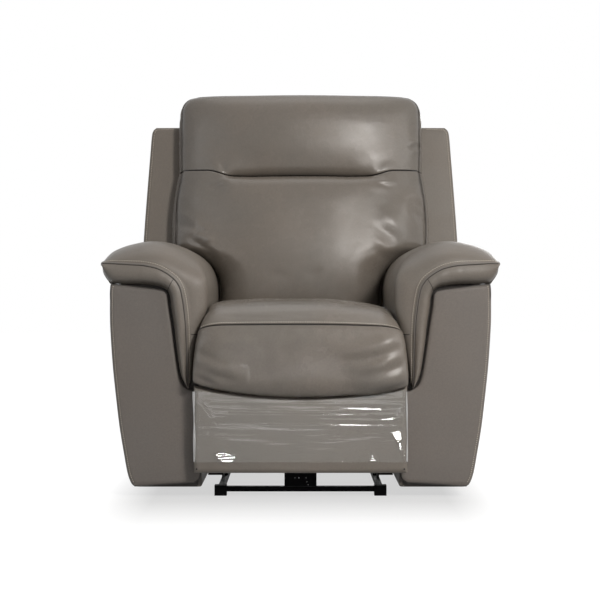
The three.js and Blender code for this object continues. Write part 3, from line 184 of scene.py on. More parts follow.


# %% [markdown]
# The cover is a corrected-grain leather in taupe grey. Close up it has a fine pebble of about a
# millimetre, finer pores in it, and faint creases where it was stretched; from a step away it shows only
# a soft sheen and slow changes between a warmer and a cooler grey. The grain is bump, since it is far
# finer than any mesh, while folds and seams are modelled. The shade in seams, creases and recesses is
# painted: an attribute on each cover darkens the colour there and makes it a little rougher.


# %% Leather
def make_leather(name, warm, cool, sheen_roughness, crease_strength=1.0):
    hide = new_finish(name)
    patches = hide.between(hide.noise(5.0, 3.0), 0.35, 0.65)
    flecks = hide.between(hide.noise(230.0, 2.0), 0.3, 0.7)
    cells = hide.node("TexVoronoi", {"feature": "DISTANCE_TO_EDGE"}, Vector=hide.place(), Scale=620.0)
    pebble = hide.between(cells, 0.0, 0.14)
    pores = hide.noise(1500.0, 2.0)
    creases = hide.node("TexVoronoi", {"feature": "DISTANCE_TO_EDGE"}, Vector=hide.place((1, 1, 1.7)), Scale=75.0)
    crease = hide.between(creases, 0.0, 0.05)
    colour = hide.colours(patches, cool, warm)
    darker = tuple(0.72 * c for c in cool)
    colour = hide.tint((1 - pebble) * 0.35 + (1 - flecks) * 0.28, colour, darker)
    # Painted shade: the seam attribute darkens the leather to near black in seams, creases and recesses
    seam = hide.node("Attribute", {"attribute_name": "seam"}, output=2)
    colour = hide.tint(seam, colour, (0.012, 0.010, 0.009))
    relief = hide.bump(pebble, 0.06 * mm, 0.75)
    relief = hide.bump(pores, 0.03 * mm, 0.6, under=relief)
    relief = hide.bump(crease * crease_strength, 0.10 * mm, 0.35, under=relief)
    gloss = sheen_roughness + 0.08 * patches - 0.05 * pebble + 0.06 * hide.noise(40.0) + 0.2 * seam
    surface = hide.node(
        "BsdfPrincipled", Base_Color=colour, Roughness=gloss, Normal=relief, IOR=1.46)
    return hide.show(surface)


taupe_warm = (0.222, 0.190, 0.160)
taupe_cool = (0.203, 0.181, 0.156)
leather = make_leather("taupe leather", taupe_warm, taupe_cool, 0.23)
pad_leather = make_leather("arm pad leather", taupe_warm, taupe_cool, 0.36)
panel_leather = make_leather("side panel leather", taupe_warm, taupe_cool, 0.5)
front_leather = make_leather("arm front leather", (0.217, 0.190, 0.168), (0.202, 0.181, 0.164), 0.5)
piping_leather = make_leather("piping leather", (0.130, 0.113, 0.098), (0.115, 0.103, 0.091), 0.45, 0.0)
welt_leather = make_leather("welt leather", (0.2, 0.176, 0.153), (0.185, 0.168, 0.152), 0.4, 0.0)


# %% [markdown]
# The thread is a pale tan polyester, a little shiny. The steel of the mechanism has a satin black powder
# coat with a faint orange-peel texture, and the moulded black plastic is a little shinier and grained.


# %% Thread, steel, plastic, wood and rubber
def make_thread():
    thread = new_finish("tan thread")
    twist = thread.noise(900.0, 1.0)
    colour = thread.colours(twist, (0.68, 0.62, 0.52), (0.88, 0.80, 0.69))
    return thread.show(thread.node(
        "BsdfPrincipled", Base_Color=colour, Roughness=0.5, Normal=thread.bump(twist, 0.1 * mm)))


def make_coated_steel(name, colour, roughness, peel=0.02 * mm, metallic=0.0, shine=0.5):
    coat = new_finish(name)
    peel_noise = coat.noise(700.0, 2.0)
    worn = coat.between(coat.noise(30.0, 4.0), 0.45, 0.75)
    shade = coat.colours(worn, colour, tuple(min(1.0, c * 1.5) for c in colour))
    return coat.show(coat.node(
        "BsdfPrincipled", Base_Color=shade, Roughness=roughness + 0.12 * worn, Metallic=metallic,
        Normal=coat.bump(peel_noise, peel), Specular_IOR_Level=shine))


def make_plywood():
    wood = new_finish("plywood")
    grain = wood.noise(14.0, 6.0, stretch=(1, 14, 14), roughness=0.65)
    streak = wood.between(grain, 0.3, 0.7)
    colour = wood.colours(streak, (0.34, 0.22, 0.11), (0.55, 0.4, 0.23))
    return wood.show(wood.node(
        "BsdfPrincipled", Base_Color=colour, Roughness=0.62 + 0.15 * streak, Normal=wood.bump(grain, 0.3 * mm)))


# Painted shadow: a near-black finish for thin cords laid where seams and gaps fall into shade
def make_painted_gap_shadow():
    gap = new_finish("seam gap")
    shade = gap.colours(gap.noise(120.0), (0.010, 0.008, 0.007), (0.03, 0.025, 0.022))
    return gap.show(gap.node("BsdfPrincipled", Base_Color=shade, Roughness=0.8 - 0.1 * gap.noise(300.0)))


thread_finish = make_thread()
gap_shadow_finish = make_painted_gap_shadow()
black_steel = make_coated_steel("black powder coat", (0.004, 0.004, 0.0045), 0.5, shine=0.02)
black_plastic = make_coated_steel("black moulded plastic", (0.008, 0.008, 0.009), 0.46, 0.05 * mm, shine=0.25)
rubber_finish = make_coated_steel("black rubber", (0.004, 0.004, 0.0045), 0.6, 0.08 * mm, shine=0.03)
spring_finish = make_coated_steel("oiled spring steel", (0.16, 0.16, 0.17), 0.3, 0.01 * mm, 0.9)
rod_finish = make_coated_steel("ground rod steel", (0.5, 0.51, 0.52), 0.2, 0.005 * mm, 1.0)
plywood_finish = make_plywood()
finishes = {
    "leather": leather, "black_steel": black_steel, "plywood": plywood_finish, "spring_steel": spring_finish,
    "rod_steel": rod_finish, "black_plastic": black_plastic, "rubber_feet": rubber_finish}
slots = {part["node"]: part["material_slot"] for part in frame["record"]["subparts"]}
for node_name, node_object in frame["nodes"].items():
    finish = finishes.get(slots[node_name], leather)
    node_object.data.materials.clear()
    node_object.data.materials.append(finish)
print(len(frame["nodes"]), "CAD pieces have a finish")

# %% [markdown]
# Every cover here is a grid of points that follows a sewn panel, so three small tools do most of the
# work: a smooth line through a few chosen points, a rolled edge where a panel turns in to its seam, and
# a fold that runs along a line and fades at both ends.


# %% Lines, edges and folds
def ease(share):
    share = np.clip(share, 0.0, 1.0)
    return share * share * (3 - 2 * share)


def mix(low, high, share):
    return low + (high - low) * share


def curve_between(start, end, start_slope, end_slope, t):
    """A cubic curve from start to end, read at shares t of the way."""
    return (
        (2 * t**3 - 3 * t**2 + 1) * start + (t**3 - 2 * t**2 + t) * start_slope
        + (3 * t**2 - 2 * t**3) * end + (t**3 - t**2) * end_slope)


def spline(points, at):
    """A smooth line through points, read at fractional indices."""
    points = np.asarray(points, float)
    slopes = np.gradient(points, axis=0)
    first = np.clip(np.floor(at).astype(int), 0, len(points) - 2)
    t = (np.asarray(at) - first)[:, None]
    return curve_between(points[first], points[first + 1], slopes[first], slopes[first + 1], t)


def along(points):
    steps = np.linalg.norm(np.diff(points, axis=0), axis=1)
    return np.concatenate([[0.0], np.cumsum(steps)])


def even_places(points, count):
    """Fractional indices at which a spline through points is walked in even steps."""
    fine = np.linspace(0, len(points) - 1, 60 * len(points))
    run = along(spline(points, fine))
    return np.interp(np.linspace(0, run[-1], count), run, fine)


def through(points, count):
    return spline(points, even_places(points, count))


def rolled(distance, radius):
    """How far a panel has turned in at a distance from its seam: 1 at the seam, 0 past the radius."""
    share = np.clip(1 - distance / radius, 0.0, 1.0)
    return 1 - np.sqrt(np.clip(1 - share**2, 0.0, 1.0))


def fold(x, z, crease):
    """A ridge, or with a negative height a valley, along a line that may bow sideways.

    A crease holds millimetres: across and up of its start and of its end, then its width, height and bow.
    """
    x0, z0, x1, z1, width, height, bow = np.array(crease) * mm
    length = np.hypot(x1 - x0, z1 - z0)
    unit_x, unit_z = (x1 - x0) / length, (z1 - z0) / length
    share = ((x - x0) * unit_x + (z - z0) * unit_z) / length
    side = (z - z0) * unit_x - (x - x0) * unit_z - bow * 4 * share * (1 - share)
    fade = np.clip(np.sin(np.pi * np.clip(share, 0, 1)), 0, 1) ** (1.6 if width > 10 * mm else 1.0)
    return height * fade * np.exp(-((side / width) ** 2))


# %% [markdown]
# A mesh is made in one place. It gets its finish and its body to ride on. Both arms and both wings are the
# same pattern, so a mirrored copy has its faces turned over.


# %% From points to a piece
def make_piece(
        name, points, faces, finish, body, slot="leather", replaces=(), soft=None, seam=None, mirror=False):
    points = np.asarray(points, float).reshape(-1, 3)
    faces = [list(map(int, face)) for face in faces]
    if mirror:
        points, faces = points * np.array([-1.0, 1.0, 1.0]), [face[::-1] for face in faces]
    mesh = bpy.data.meshes.new(name)
    mesh.from_pydata(points.tolist(), [], faces)
    mesh.validate()
    mesh.update()
    piece = bpy.data.objects.new(name, mesh)
    bpy.context.collection.objects.link(piece)
    mesh.materials.append(finish)
    mesh.shade_smooth()
    # The seam values are painted shade: the leather reads them to darken seams, gaps and recesses
    if seam is not None:
        marks = np.zeros(len(mesh.vertices), np.float32)
        marks[:len(seam)] = seam
        mesh.attributes.new("seam", "FLOAT", "POINT").data.foreach_set("value", marks)
    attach(piece, body)
    if replaces:
        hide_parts(*replaces)
    return piece


def grid_faces(rows, columns, start=0, turned=False):
    i, j = np.meshgrid(np.arange(rows - 1), np.arange(columns - 1), indexing="ij")
    a = start + i * columns + j
    quads = np.stack([a, a + 1, a + columns + 1, a + columns], axis=-1).reshape(-1, 4)
    return quads[:, ::-1] if turned else quads


def rim_of(rows, columns):
    """The indices round the edge of a grid, in order."""
    top = list(range(columns))
    right = [i * columns + columns - 1 for i in range(1, rows)]
    bottom = [(rows - 1) * columns + j for j in range(columns - 2, -1, -1)]
    left = [i * columns for i in range(rows - 2, 0, -1)]
    return np.array(top + right + bottom + left)


def boxed(front, loops, back, turned=False):
    """A closed cover: a front panel, rings of boxing from its rim, and a back panel with the same count."""
    rows, columns = front.shape[:2]
    rim = rim_of(rows, columns)
    count = rows * columns
    points = [front.reshape(-1, 3), back.reshape(-1, 3)]
    faces = [grid_faces(rows, columns, 0, turned), grid_faces(rows, columns, count, not turned)]
    rings = [rim]
    start = 2 * count
    for ring in loops:
        points.append(ring)
        rings.append(np.arange(start, start + len(rim)))
        start += len(rim)
    rings.append(rim + count)
    for near, far in zip(rings, rings[1:]):
        quads = np.stack([near, far, np.roll(far, -1), np.roll(near, -1)], axis=-1)
        faces.append(quads[:, ::-1] if turned else quads)
    return np.concatenate(points), np.concatenate(faces)


def padded_board(front, rear_y, shares):
    """A cover with straight boxing from its front panel back to a flat rear, with rings at shares of the way."""
    rim = front.reshape(-1, 3)[rim_of(*front.shape[:2])]
    rings = []
    for share in shares:
        ring = rim.copy()
        ring[:, 1] = mix(rim[:, 1], rear_y, share)
        rings.append(ring)
    back = front.copy()
    back[..., 1] = rear_y
    return boxed(front, rings, back, turned=True)


def ring_faces(rings, sides, start=0):
    """The faces between rings that follow each other."""
    faces = []
    for near in range(start, start + (rings - 1) * sides, sides):
        for k in range(sides):
            m = (k + 1) % sides
            faces.append((near + k, near + m, near + sides + m, near + sides + k))
    return faces


def tube_faces(rings, sides, start=0):
    """The faces of a tube of rings, with a cap at each end."""
    last = start + (rings - 1) * sides
    caps = [tuple(range(start, start + sides))[::-1], tuple(range(last, last + sides))]
    return ring_faces(rings, sides, start) + caps


def unit(vectors):
    return vectors / np.linalg.norm(vectors, axis=1)[:, None]


def cord_along(line, radius, sides=8):
    """Points and faces of a round piping along a line."""
    line = np.asarray(line, float)
    heading = unit(np.gradient(line, axis=0))
    side = np.cross(heading, np.array([0.13, 0.31, 0.94]))
    weak = np.linalg.norm(side, axis=1) < 0.2
    side[weak] = np.cross(heading[weak], np.array([0.9, 0.1, -0.2]))
    side = unit(side)
    up = np.cross(side, heading)
    turns = np.linspace(0, 2 * np.pi, sides, endpoint=False)
    ring = np.cos(turns)[None, :, None] * side[:, None, :] + np.sin(turns)[None, :, None] * up[:, None, :]
    points = line[:, None, :] + radius * ring
    return points.reshape(-1, 3), tube_faces(len(line), sides)


# The rings of one stitch: place along its length, thickness, and height in radii above the leather
stitch_form = np.array([
    (-0.5, 0.3, -0.9), (-0.32, 0.9, 0.1), (0.0, 1.0, 0.45), (0.32, 0.9, 0.1), (0.5, 0.3, -0.9)])
stitch_lift = 0.25 * mm
pad_thread = (5.8 * mm, 3.0 * mm, 1.15 * mm)
seat_thread = (5.8 * mm, 3.0 * mm, 1.05 * mm)
panel_thread = (5.2 * mm, 2.8 * mm, 0.85 * mm)


def stitches_along(line, normals, pitch, length, radius, slant=0.0):
    """A row of thread stitches along a line, each a short spindle that dips into the leather at its ends."""
    run = along(line)
    count = max(2, int(run[-1] / pitch))
    middles = (np.arange(count) + 0.5) * run[-1] / count

    def read(values, places):
        return np.stack([np.interp(places, run, values[:, k]) for k in range(3)], axis=-1)

    place, normal = read(line, middles), unit(read(normals, middles))
    heading = unit(read(line, middles + pitch / 2) - read(line, middles - pitch / 2))
    heading = np.cos(slant) * heading + np.sin(slant) * np.cross(normal, heading)
    across = np.cross(normal, heading)
    reach, thick, height = stitch_form.T[:, None, :, None]
    above = stitch_lift + height * radius
    middle = place[:, None] + heading[:, None] * reach * length + normal[:, None] * above
    sides = 6
    turns = np.linspace(0, 2 * np.pi, sides, endpoint=False)[None, None, :, None]
    ring = np.cos(turns) * across[:, None, None] + np.sin(turns) * normal[:, None, None]
    points = middle[:, :, None] + radius * thick[..., None] * ring
    rings = len(stitch_form)
    faces = [face for n in range(count) for face in tube_faces(rings, sides, n * rings * sides)]
    return points.reshape(-1, 3), faces


def joined(parts):
    points, faces, start = [], [], 0
    for part_points, part_faces in parts:
        points.append(np.asarray(part_points))
        faces += [tuple(int(k) + start for k in face) for face in part_faces]
        start += len(part_points)
    return np.concatenate(points), faces


def at_reach(path, distance):
    """The point on a path at a distance from its start."""
    run = along(path)
    return np.array([np.interp(distance, run, path[:, k]) for k in range(3)])


def crowded(count, power=1.5):
    """Shares from -1 to 1 that crowd together towards both ends."""
    share = np.linspace(-1, 1, count)
    return np.sign(share) * (1 - (1 - np.abs(share)) ** power)


def close_to(distance, width):
    """How much painted shade a seam gets: 1 within its width, fading out over the same width again."""
    return 1 - ease(distance / width - 1)


# %% [markdown]
# Leather on foam is never quite the shape that was drawn. It is sewn a little too large, the foam
# presses it out, and the seams hold it back, so it swells unevenly and puckers towards the seams. That
# is a cloth simulation: each panel is a sheet held at its seams with a steady pressure behind it. It is
# run on an even, coarser grid, because cloth behaves best when its squares are alike, and the movement
# is then carried over to the fine grid with its seams and folds.


# %% Let a sewn panel settle
def resample(field, row_at, column_at):
    rows, columns = field.shape[:2]
    by_row = spline(field.reshape(rows, -1), row_at).reshape(len(row_at), columns, -1)
    turned = by_row.transpose(1, 0, 2).reshape(columns, -1)
    return spline(turned, column_at).reshape(len(column_at), len(row_at), -1).transpose(1, 0, 2)


gathering = 0.04
limit = 10 * mm


def settled(name, grid, held, loose, frames=20):
    """How far a grid's points move when it is let go as cloth.

    held is 1 where it is sewn down. loose names the places where the panel is gathered: across, up, radius.
    """
    rows, columns = grid.shape[:2]
    mesh = bpy.data.meshes.new(name)
    mesh.from_pydata(grid.reshape(-1, 3).tolist(), [], grid_faces(rows, columns, 0, True).tolist())
    mesh.update()
    sheet = bpy.data.objects.new(name, mesh)
    bpy.context.collection.objects.link(sheet)
    group = sheet.vertex_groups.new(name="held")
    slack = np.zeros((rows, columns))
    for across_at, up_at, radius in loose:
        far = np.hypot(grid[..., 0] - across_at, grid[..., 2] - up_at) / radius
        slack = np.maximum(slack, np.exp(-(far**2)))
    drawn = sheet.vertex_groups.new(name="drawn flat")
    for index, (weight, share) in enumerate(zip(held.reshape(-1), slack.reshape(-1))):
        if weight > 0:
            group.add([index], float(weight), "REPLACE")
        drawn.add([index], 1 - float(share), "REPLACE")
    cloth = sheet.modifiers.new("cloth", "CLOTH")
    set_up = cloth.settings
    set_up.quality = 8
    set_up.mass = 0.3
    set_up.tension_stiffness = set_up.compression_stiffness = set_up.shear_stiffness = 60
    set_up.bending_stiffness = 14
    set_up.tension_damping = set_up.compression_damping = 20
    set_up.air_damping = 6
    set_up.use_pressure = True
    set_up.uniform_pressure_force = 0.3
    set_up.shrink_min, set_up.shrink_max = -gathering, -0.002
    set_up.vertex_group_shrink = "drawn flat"
    set_up.effector_weights.gravity = 0
    set_up.vertex_group_mass = "held"
    cloth.collision_settings.use_collision = False
    cloth.collision_settings.use_self_collision = False
    cloth.point_cache.frame_start, cloth.point_cache.frame_end = 1, frames
    scene = bpy.context.scene
    for frame_number in range(1, frames + 1):
        scene.frame_set(frame_number)
    baked = sheet.evaluated_get(bpy.context.evaluated_depsgraph_get())
    places = np.empty(3 * rows * columns)
    baked.data.vertices.foreach_get("co", places)
    moved = places.reshape(grid.shape) - grid
    scene.frame_set(1)
    bpy.data.objects.remove(sheet)
    bpy.data.meshes.remove(mesh)
    reach = np.linalg.norm(moved, axis=2)
    moves = [round(float(move) * 1000, 1) for move in (reach.max(), reach.mean(), -moved[..., 1].mean())]
    print(name, "settled by up to", moves[0], "mm, mean", moves[1], "mm, forward", moves[2], "mm")
    calm = mix(0.35, 1.0, ease(2.5 * slack))
    moved *= (calm * np.minimum(1, limit / np.maximum(reach, 1e-9)))[..., None]
    for _ in range(2):
        moved[1:-1] = (moved[:-2] + 2 * moved[1:-1] + moved[2:]) / 4
        moved[:, 1:-1] = (moved[:, :-2] + 2 * moved[:, 1:-1] + moved[:, 2:]) / 4
    return moved


def sewn_rim(rows, columns):
    """1 round the edge of a grid, 0 inside."""
    held = np.zeros((rows, columns))
    held[[0, -1], :] = 1
    held[:, [0, -1]] = 1
    return held


# %% [markdown]
# The arm pads are the signature of this chair. Each is a waterfall: one long top panel rolls over the
# arm, turns the corner and runs down beside the seat as a narrow leg. In front it is closed by a boxing
# strip, and the two meet in a piped seam with tan top-stitching behind it. The pattern is drawn as
# three lines seen from the front, in shares of the pad's own box: the piped seam, the fullest section
# behind it, and the lower edge of the boxing.

# %% The lines of an arm pad
pad_low, pad_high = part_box("arm_pad_left")
pad_seam_shares = [
    (1.0, 0.843), (0.925, 0.847), (0.847, 0.845), (0.75, 0.841), (0.673, 0.838), (0.615, 0.835), (0.538, 0.826),
    (0.468, 0.813), (0.414, 0.795), (0.36, 0.771), (0.296, 0.733), (0.25, 0.68), (0.226, 0.609), (0.213, 0.548),
    (0.196, 0.438), (0.187, 0.289), (0.184, 0.12), (0.178, 0.003)]
pad_full_shares = [
    (0.999, 0.862), (0.98, 0.892), (0.925, 0.93), (0.815, 0.965), (0.704, 0.986), (0.603, 0.999), (0.495, 1.0),
    (0.4, 0.988), (0.29, 0.957), (0.17, 0.908), (0.081, 0.846), (0.031, 0.777), (0.004, 0.7), (0.0, 0.62),
    (0.01, 0.52), (0.06, 0.36), (0.12, 0.16), (0.165, 0.02)]
pad_boxing_shares = [
    (0.998, 0.822), (0.982, 0.768), (0.925, 0.716), (0.82, 0.704), (0.705, 0.703), (0.62, 0.702), (0.54, 0.697),
    (0.468, 0.689), (0.43, 0.682), (0.398, 0.671), (0.371, 0.653), (0.352, 0.61), (0.342, 0.55), (0.331, 0.498),
    (0.313, 0.413), (0.294, 0.289), (0.25, 0.095), (0.186, 0.0)]
# Behind the front leg the inner side ends beside the seat cushion
leg_end_share = 0.362
leg_end_place = 14.95
pad_columns = 150
pad_boxing_rows = 19
pad_roll_depth = 110 * mm
leg_depth = 24.2 * mm
boxing_curl = 21 * mm
boxing_puff = 7 * mm


def pad_line(shares):
    shares = np.array(shares)
    return np.stack([
        mix(pad_low.x, pad_high.x, shares[:, 0]), mix(pad_low.z, pad_high.z, shares[:, 1])], axis=-1)


pad_places = even_places(pad_line(pad_seam_shares), pad_columns)
pad_seam = spline(pad_line(pad_seam_shares), pad_places)
pad_full = spline(pad_line(pad_full_shares), pad_places)
pad_edge = spline(pad_line(pad_boxing_shares), pad_places)
leg_end = mix(pad_low.z, pad_high.z, leg_end_share)
pad_roll = mix(pad_roll_depth, leg_depth, ease((pad_places - 8.5) / 3.3))
print("arm pad seam", round(along(pad_seam)[-1], 3), "m")

# %% [markdown]
# The boxing is not flat: it is stuffed, so it bulges forward between its seams, rolls under at its lower
# edge and shows short slanting folds where the strip is eased round the corner. The folds are listed
# as shares along the strip.

# %% The boxing strip in front of an arm pad
boxing_folds = [
    (0.20, 0.06, -0.016, 0.012, -1.3), (0.235, -0.05, -0.02, 0.010, 1.1), (0.275, 0.05, -0.018, 0.011, -1.2),
    (0.315, 0.08, -0.03, 0.010, 0.9), (0.352, 0.04, -0.024, 0.011, -1.3), (0.395, 0.0, -0.015, 0.010, 1.2),
    (0.455, 0.1, 0.0, 0.008, -2.0), (0.50, 0.12, 0.03, 0.010, 1.3), (0.54, 0.05, 0.02, 0.010, -1.0),
    (0.60, 0.1, 0.03, 0.012, 0.7), (0.70, 0.3, 0.04, 0.016, -0.5), (0.82, 0.2, 0.05, 0.02, 0.5)]


def boxing_panel(variation):
    t = 0.5 + 0.5 * crowded(pad_boxing_rows, 1.7)[:, None]
    x = mix(pad_seam[None, :, 0], pad_edge[None, :, 0], t)
    z = mix(pad_seam[None, :, 1], pad_edge[None, :, 1], t)
    s = np.linspace(0, 1, pad_columns)[None, :]
    depth = boxing_curl * t**7 - boxing_puff * np.sin(np.pi * np.clip(t, 0, 1)) ** 0.8
    fade = np.sin(np.pi * t)
    for n, (place, slant, lean, width, height) in enumerate(boxing_folds):
        centre = place + (slant * 0.25 + lean) * t + variation * 0.006 * np.sin(7.0 * n)
        strength = 0.25 * height * (1 + 0.35 * variation * np.cos(3.0 * n)) * mm
        depth = depth - strength * fade * np.exp(-(((s - centre) / width) ** 2))
    ends = np.minimum(s, 1 - s) * along(pad_seam)[-1]
    depth = depth + 5 * mm * rolled(ends, 9 * mm)
    return np.stack([x, FRONT_Y + depth, z], axis=-1)


# %% [markdown]
# Behind the piped seam the pad is a row of rings. Each has the top panel, the inner end beside the seat,
# the lower side on the arm and the outer tip. The last rings close in for a rounded rear end. The piping,
# the stitches and the dark cords of painted shadow in the seams are laid along lines taken from the same rings.

# %% The rest of the pad: from the piped seam over the top to its rear end
box_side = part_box("arm_body_left")
beside_arm = box_side[0].x - 0.3 * mm
over_arm = box_side[1].z + 0.4 * mm
pad_end_y = pad_high.y
pad_rear_round = 34 * mm
# Places along the pad's lines where its lower side leaves the outer tip and where it turns down the leg
under_tip, under_leg = 1.6, 10.2


def pad_under():
    """The lower side of the pad behind its boxing, hugging the arm."""
    line = pad_edge.copy()
    leg = pad_places > under_leg
    top = ~leg & (pad_places > under_tip)
    line[top, 0] = mix(line[top, 0][0], beside_arm, (pad_places[top] - under_tip) / (under_leg - under_tip))
    line[top, 1] = over_arm
    up = np.linspace(0, 1, leg.sum())
    line[leg, 0] = beside_arm - 0.8 * mm * np.sin(np.pi * up)
    line[leg, 1] = mix(over_arm, leg_end, up)
    return line


def pad_ring(depth, upper, lower):
    """One ring round the pad: the top panel, then the inner end, the lower side and the outer end."""
    share = np.linspace(0, 1, pad_boxing_rows)[1:-1, None]
    inner = mix(upper[-1][None], lower[-1][None], share)
    outer = mix(lower[0][None], upper[0][None], share)
    bulge = 3.5 * mm * np.sin(np.pi * share[:, 0])
    outer[:, 0] += bulge
    line = np.concatenate([upper, inner, lower[::-1], outer])
    return np.stack([line[:, 0], np.full(len(line), depth), line[:, 1]], axis=-1)


def pad_section(depth):
    """The top panel at a depth behind the seam, swelling from the seam to its fullest section."""
    share = np.clip(depth / pad_roll, 0, 1)
    swell = np.sqrt(1 - (1 - share) ** 2)
    upper = mix(pad_seam, pad_full, swell[:, None])
    if depth > leg_depth:
        tucked = pad_places >= leg_end_place
        start = upper[tucked][0, 0]
        upper[:, 1] = np.maximum(upper[:, 1], leg_end)
        upper[tucked, 0] = mix(start, beside_arm - 0.8 * mm, np.linspace(0, 1, tucked.sum()))
    return upper


def make_arm_pad(side, variation):
    front = boxing_panel(variation)
    seam_dip = 1.6 * mm
    angles = np.linspace(0, np.pi / 2, 15)[1:]
    depths = [1.2 * mm, 3.2 * mm]
    depths += [d for d in (1 - np.cos(angles)) * pad_roll_depth if d > 5 * mm]
    depths += [leg_depth - 0.1 * mm, leg_depth + 0.6 * mm]
    length = pad_end_y - FRONT_Y
    depths += list(np.arange(pad_roll_depth + 14 * mm, length - pad_rear_round, 16 * mm))
    depths = sorted(depths)
    loops = []
    for depth in depths:
        upper = pad_section(depth)
        normal = unit(np.stack([np.gradient(upper[:, 1]), -np.gradient(upper[:, 0])], axis=-1))
        upper = upper - normal * seam_dip * rolled(np.array([depth]), 5 * mm)
        crest = 3 * mm * np.sin(np.pi * np.clip((depth - pad_roll_depth) / (length - pad_roll_depth), 0, 1))
        upper[:, 1] += crest * ease((upper[:, 1] - 0.56) / 0.06)
        if depth <= leg_depth:
            place = mix(boxing_curl, leg_depth, depth / leg_depth)
            ring = pad_ring(FRONT_Y + depth, upper, front[-1][:, [0, 2]])
            count = pad_columns + pad_boxing_rows - 2
            ring[count:count + pad_columns, 1] = FRONT_Y + place
            share = np.linspace(0, 1, pad_boxing_rows)[1:-1]
            ring[pad_columns:count, 1] = mix(FRONT_Y + depth, FRONT_Y + place, share)
            ring[count + pad_columns:, 1] = mix(FRONT_Y + place, FRONT_Y + depth, share)
        else:
            ring = pad_ring(FRONT_Y + depth, upper, pad_under())
        loops.append(ring)
    last_upper, last_lower = pad_section(1.0), pad_under()
    middle = (pad_low.x + pad_high.x) / 2
    for angle in np.linspace(0, np.radians(78), 7)[1:]:
        shrink = 1 - np.cos(angle)
        upper = last_upper.copy()
        outer = upper[:, 0] > middle
        upper[outer, 0] = mix(upper[outer, 0], middle, 0.15 * shrink)
        above = upper[:, 1] > over_arm
        upper[above, 1] = mix(upper[above, 1], over_arm, 0.36 * shrink)
        lower = last_lower.copy()
        tip = lower[:, 0] > box_side[1].x
        lower[tip, 0] = mix(lower[tip, 0], box_side[1].x, shrink)
        loops.append(pad_ring(pad_end_y - pad_rear_round * (1 - np.sin(angle)), upper, lower))
    t = np.linspace(0, 1, pad_boxing_rows)[:, None, None]
    end = mix(upper[None], lower[None], t)
    back = np.stack([end[..., 0], np.full(end.shape[:2], pad_end_y - 1 * mm), end[..., 1]], axis=-1)
    points, faces = boxed(front, loops, back)
    shade = np.zeros(len(points))
    last_row = (pad_boxing_rows - 1) * pad_columns
    # Painted shade along the boxing's lower edge, where it tucks under the pad
    shade[last_row:last_row + pad_columns] = 0.6
    for n, depth in enumerate(depths):
        start = 2 * front.shape[0] * pad_columns + n * len(loops[0])
        # Painted shade on the leg below its seam, in the recess beside the seat
        recessed = (loops[n][:pad_columns, 2] < leg_seam_z) & (pad_places > 11)
        shade[start:start + pad_columns] = 0.45 * recessed * ease((depth - 2.5 * mm) / (3 * mm))
    make_piece(
        "arm_pad_cover_" + side, points, faces, pad_leather, "base", replaces=["arm_pad_" + side], soft=0.7,
        seam=shade, mirror=side == "right")
    return front, loops, depths


mitre_start = np.array([0.313, 0.540])
leg_seam_z = 0.402
end_seam_inset = 5 * mm


def make_pad_trim(side, front, loops, depths):
    """The piping in the front seam and along the outer tip, the stitches behind it and the dark cords of painted
    shadow in the other seams.
    """
    tip_run = [ring[0] for ring, depth in zip(loops, depths) if depth > 12 * mm]
    seam_line = front[0].copy()
    seam_line[:, 1] -= 0.4 * mm
    seam_line[0, 1] += 1 * mm
    outer_line = np.array(tip_run)[::-1]
    outer_line[:, 0] -= 0.8 * mm
    outer_line[:, 2] -= 1.0 * mm
    welt_line = through(np.concatenate([outer_line[::3], seam_line[::2], seam_line[-1:]]), 420)
    welts = cord_along(welt_line, 2.4 * mm)
    near = np.searchsorted(depths, 5 * mm)
    stitch_run, stitch_normals, under_welt = [], [], []
    for k in range(3, pad_columns - 2):
        path = np.array([front[0][k]] + [ring[k] for ring in loops[:near + 4]])
        spot = at_reach(path, 8.0 * mm)
        tangent = at_reach(path, 9.8 * mm) - spot
        normal = np.cross(loops[near][k + 1] - loops[near][k - 1], tangent)
        stitch_run.append(spot)
        stitch_normals.append(normal / np.linalg.norm(normal))
    for k in range(1, pad_columns - 1):
        under_welt.append(at_reach(front[:, k], 2.7 * mm) - np.array([0, 0.1 * mm, 0]))
    stitch_run, stitch_normals = np.array(stitch_run), np.array(stitch_normals)
    if stitch_normals[40][2] < 0:
        stitch_normals = -stitch_normals
    threads = stitches_along(stitch_run, stitch_normals, *pad_thread, slant=0.6)
    mitre_column = int(np.argmin(np.linalg.norm(pad_seam - mitre_start, axis=1)))
    mitre = front[:, mitre_column] - np.array([0, 0.25 * mm, 0])
    tip = [at_reach(front[::-1, k], end_seam_inset) for k in range(int(0.12 * pad_columns))]
    tip = np.array(tip) - np.array([0, 0.3 * mm, 0])
    leg = np.flatnonzero(pad_places > 11)
    leg = leg[np.argsort(pad_seam[leg, 1])]
    leg_seam = np.array([
        [np.interp(leg_seam_z, ring[leg, 2], ring[leg, axis]) for axis in range(3)]
        for ring, depth in zip(loops, depths) if 0.5 * mm < depth < leg_depth])
    seam_shadow_cords = joined([
        cord_along(leg_seam, 1.2 * mm, 6),
        cord_along(np.array(under_welt), 1.15 * mm, 6), cord_along(mitre[1:-1], 0.7 * mm, 6),
        cord_along(tip, 0.8 * mm, 6)])
    for part, (points, faces), finish in (
            ("arm_pad_welt_", welts, welt_leather), ("arm_pad_stitches_", threads, thread_finish),
            ("arm_pad_seams_", seam_shadow_cords, gap_shadow_finish)):
        make_piece(part + side, points, faces, finish, "base", mirror=side == "right")


for side, variation in (("left", 0.0), ("right", 1.0)):
    pad_front, pad_loops, pad_depths = make_arm_pad(side, variation)
    make_pad_trim(side, pad_front, pad_loops, pad_depths)
print("arm pads have", len(pad_depths), "stations from front to rear")

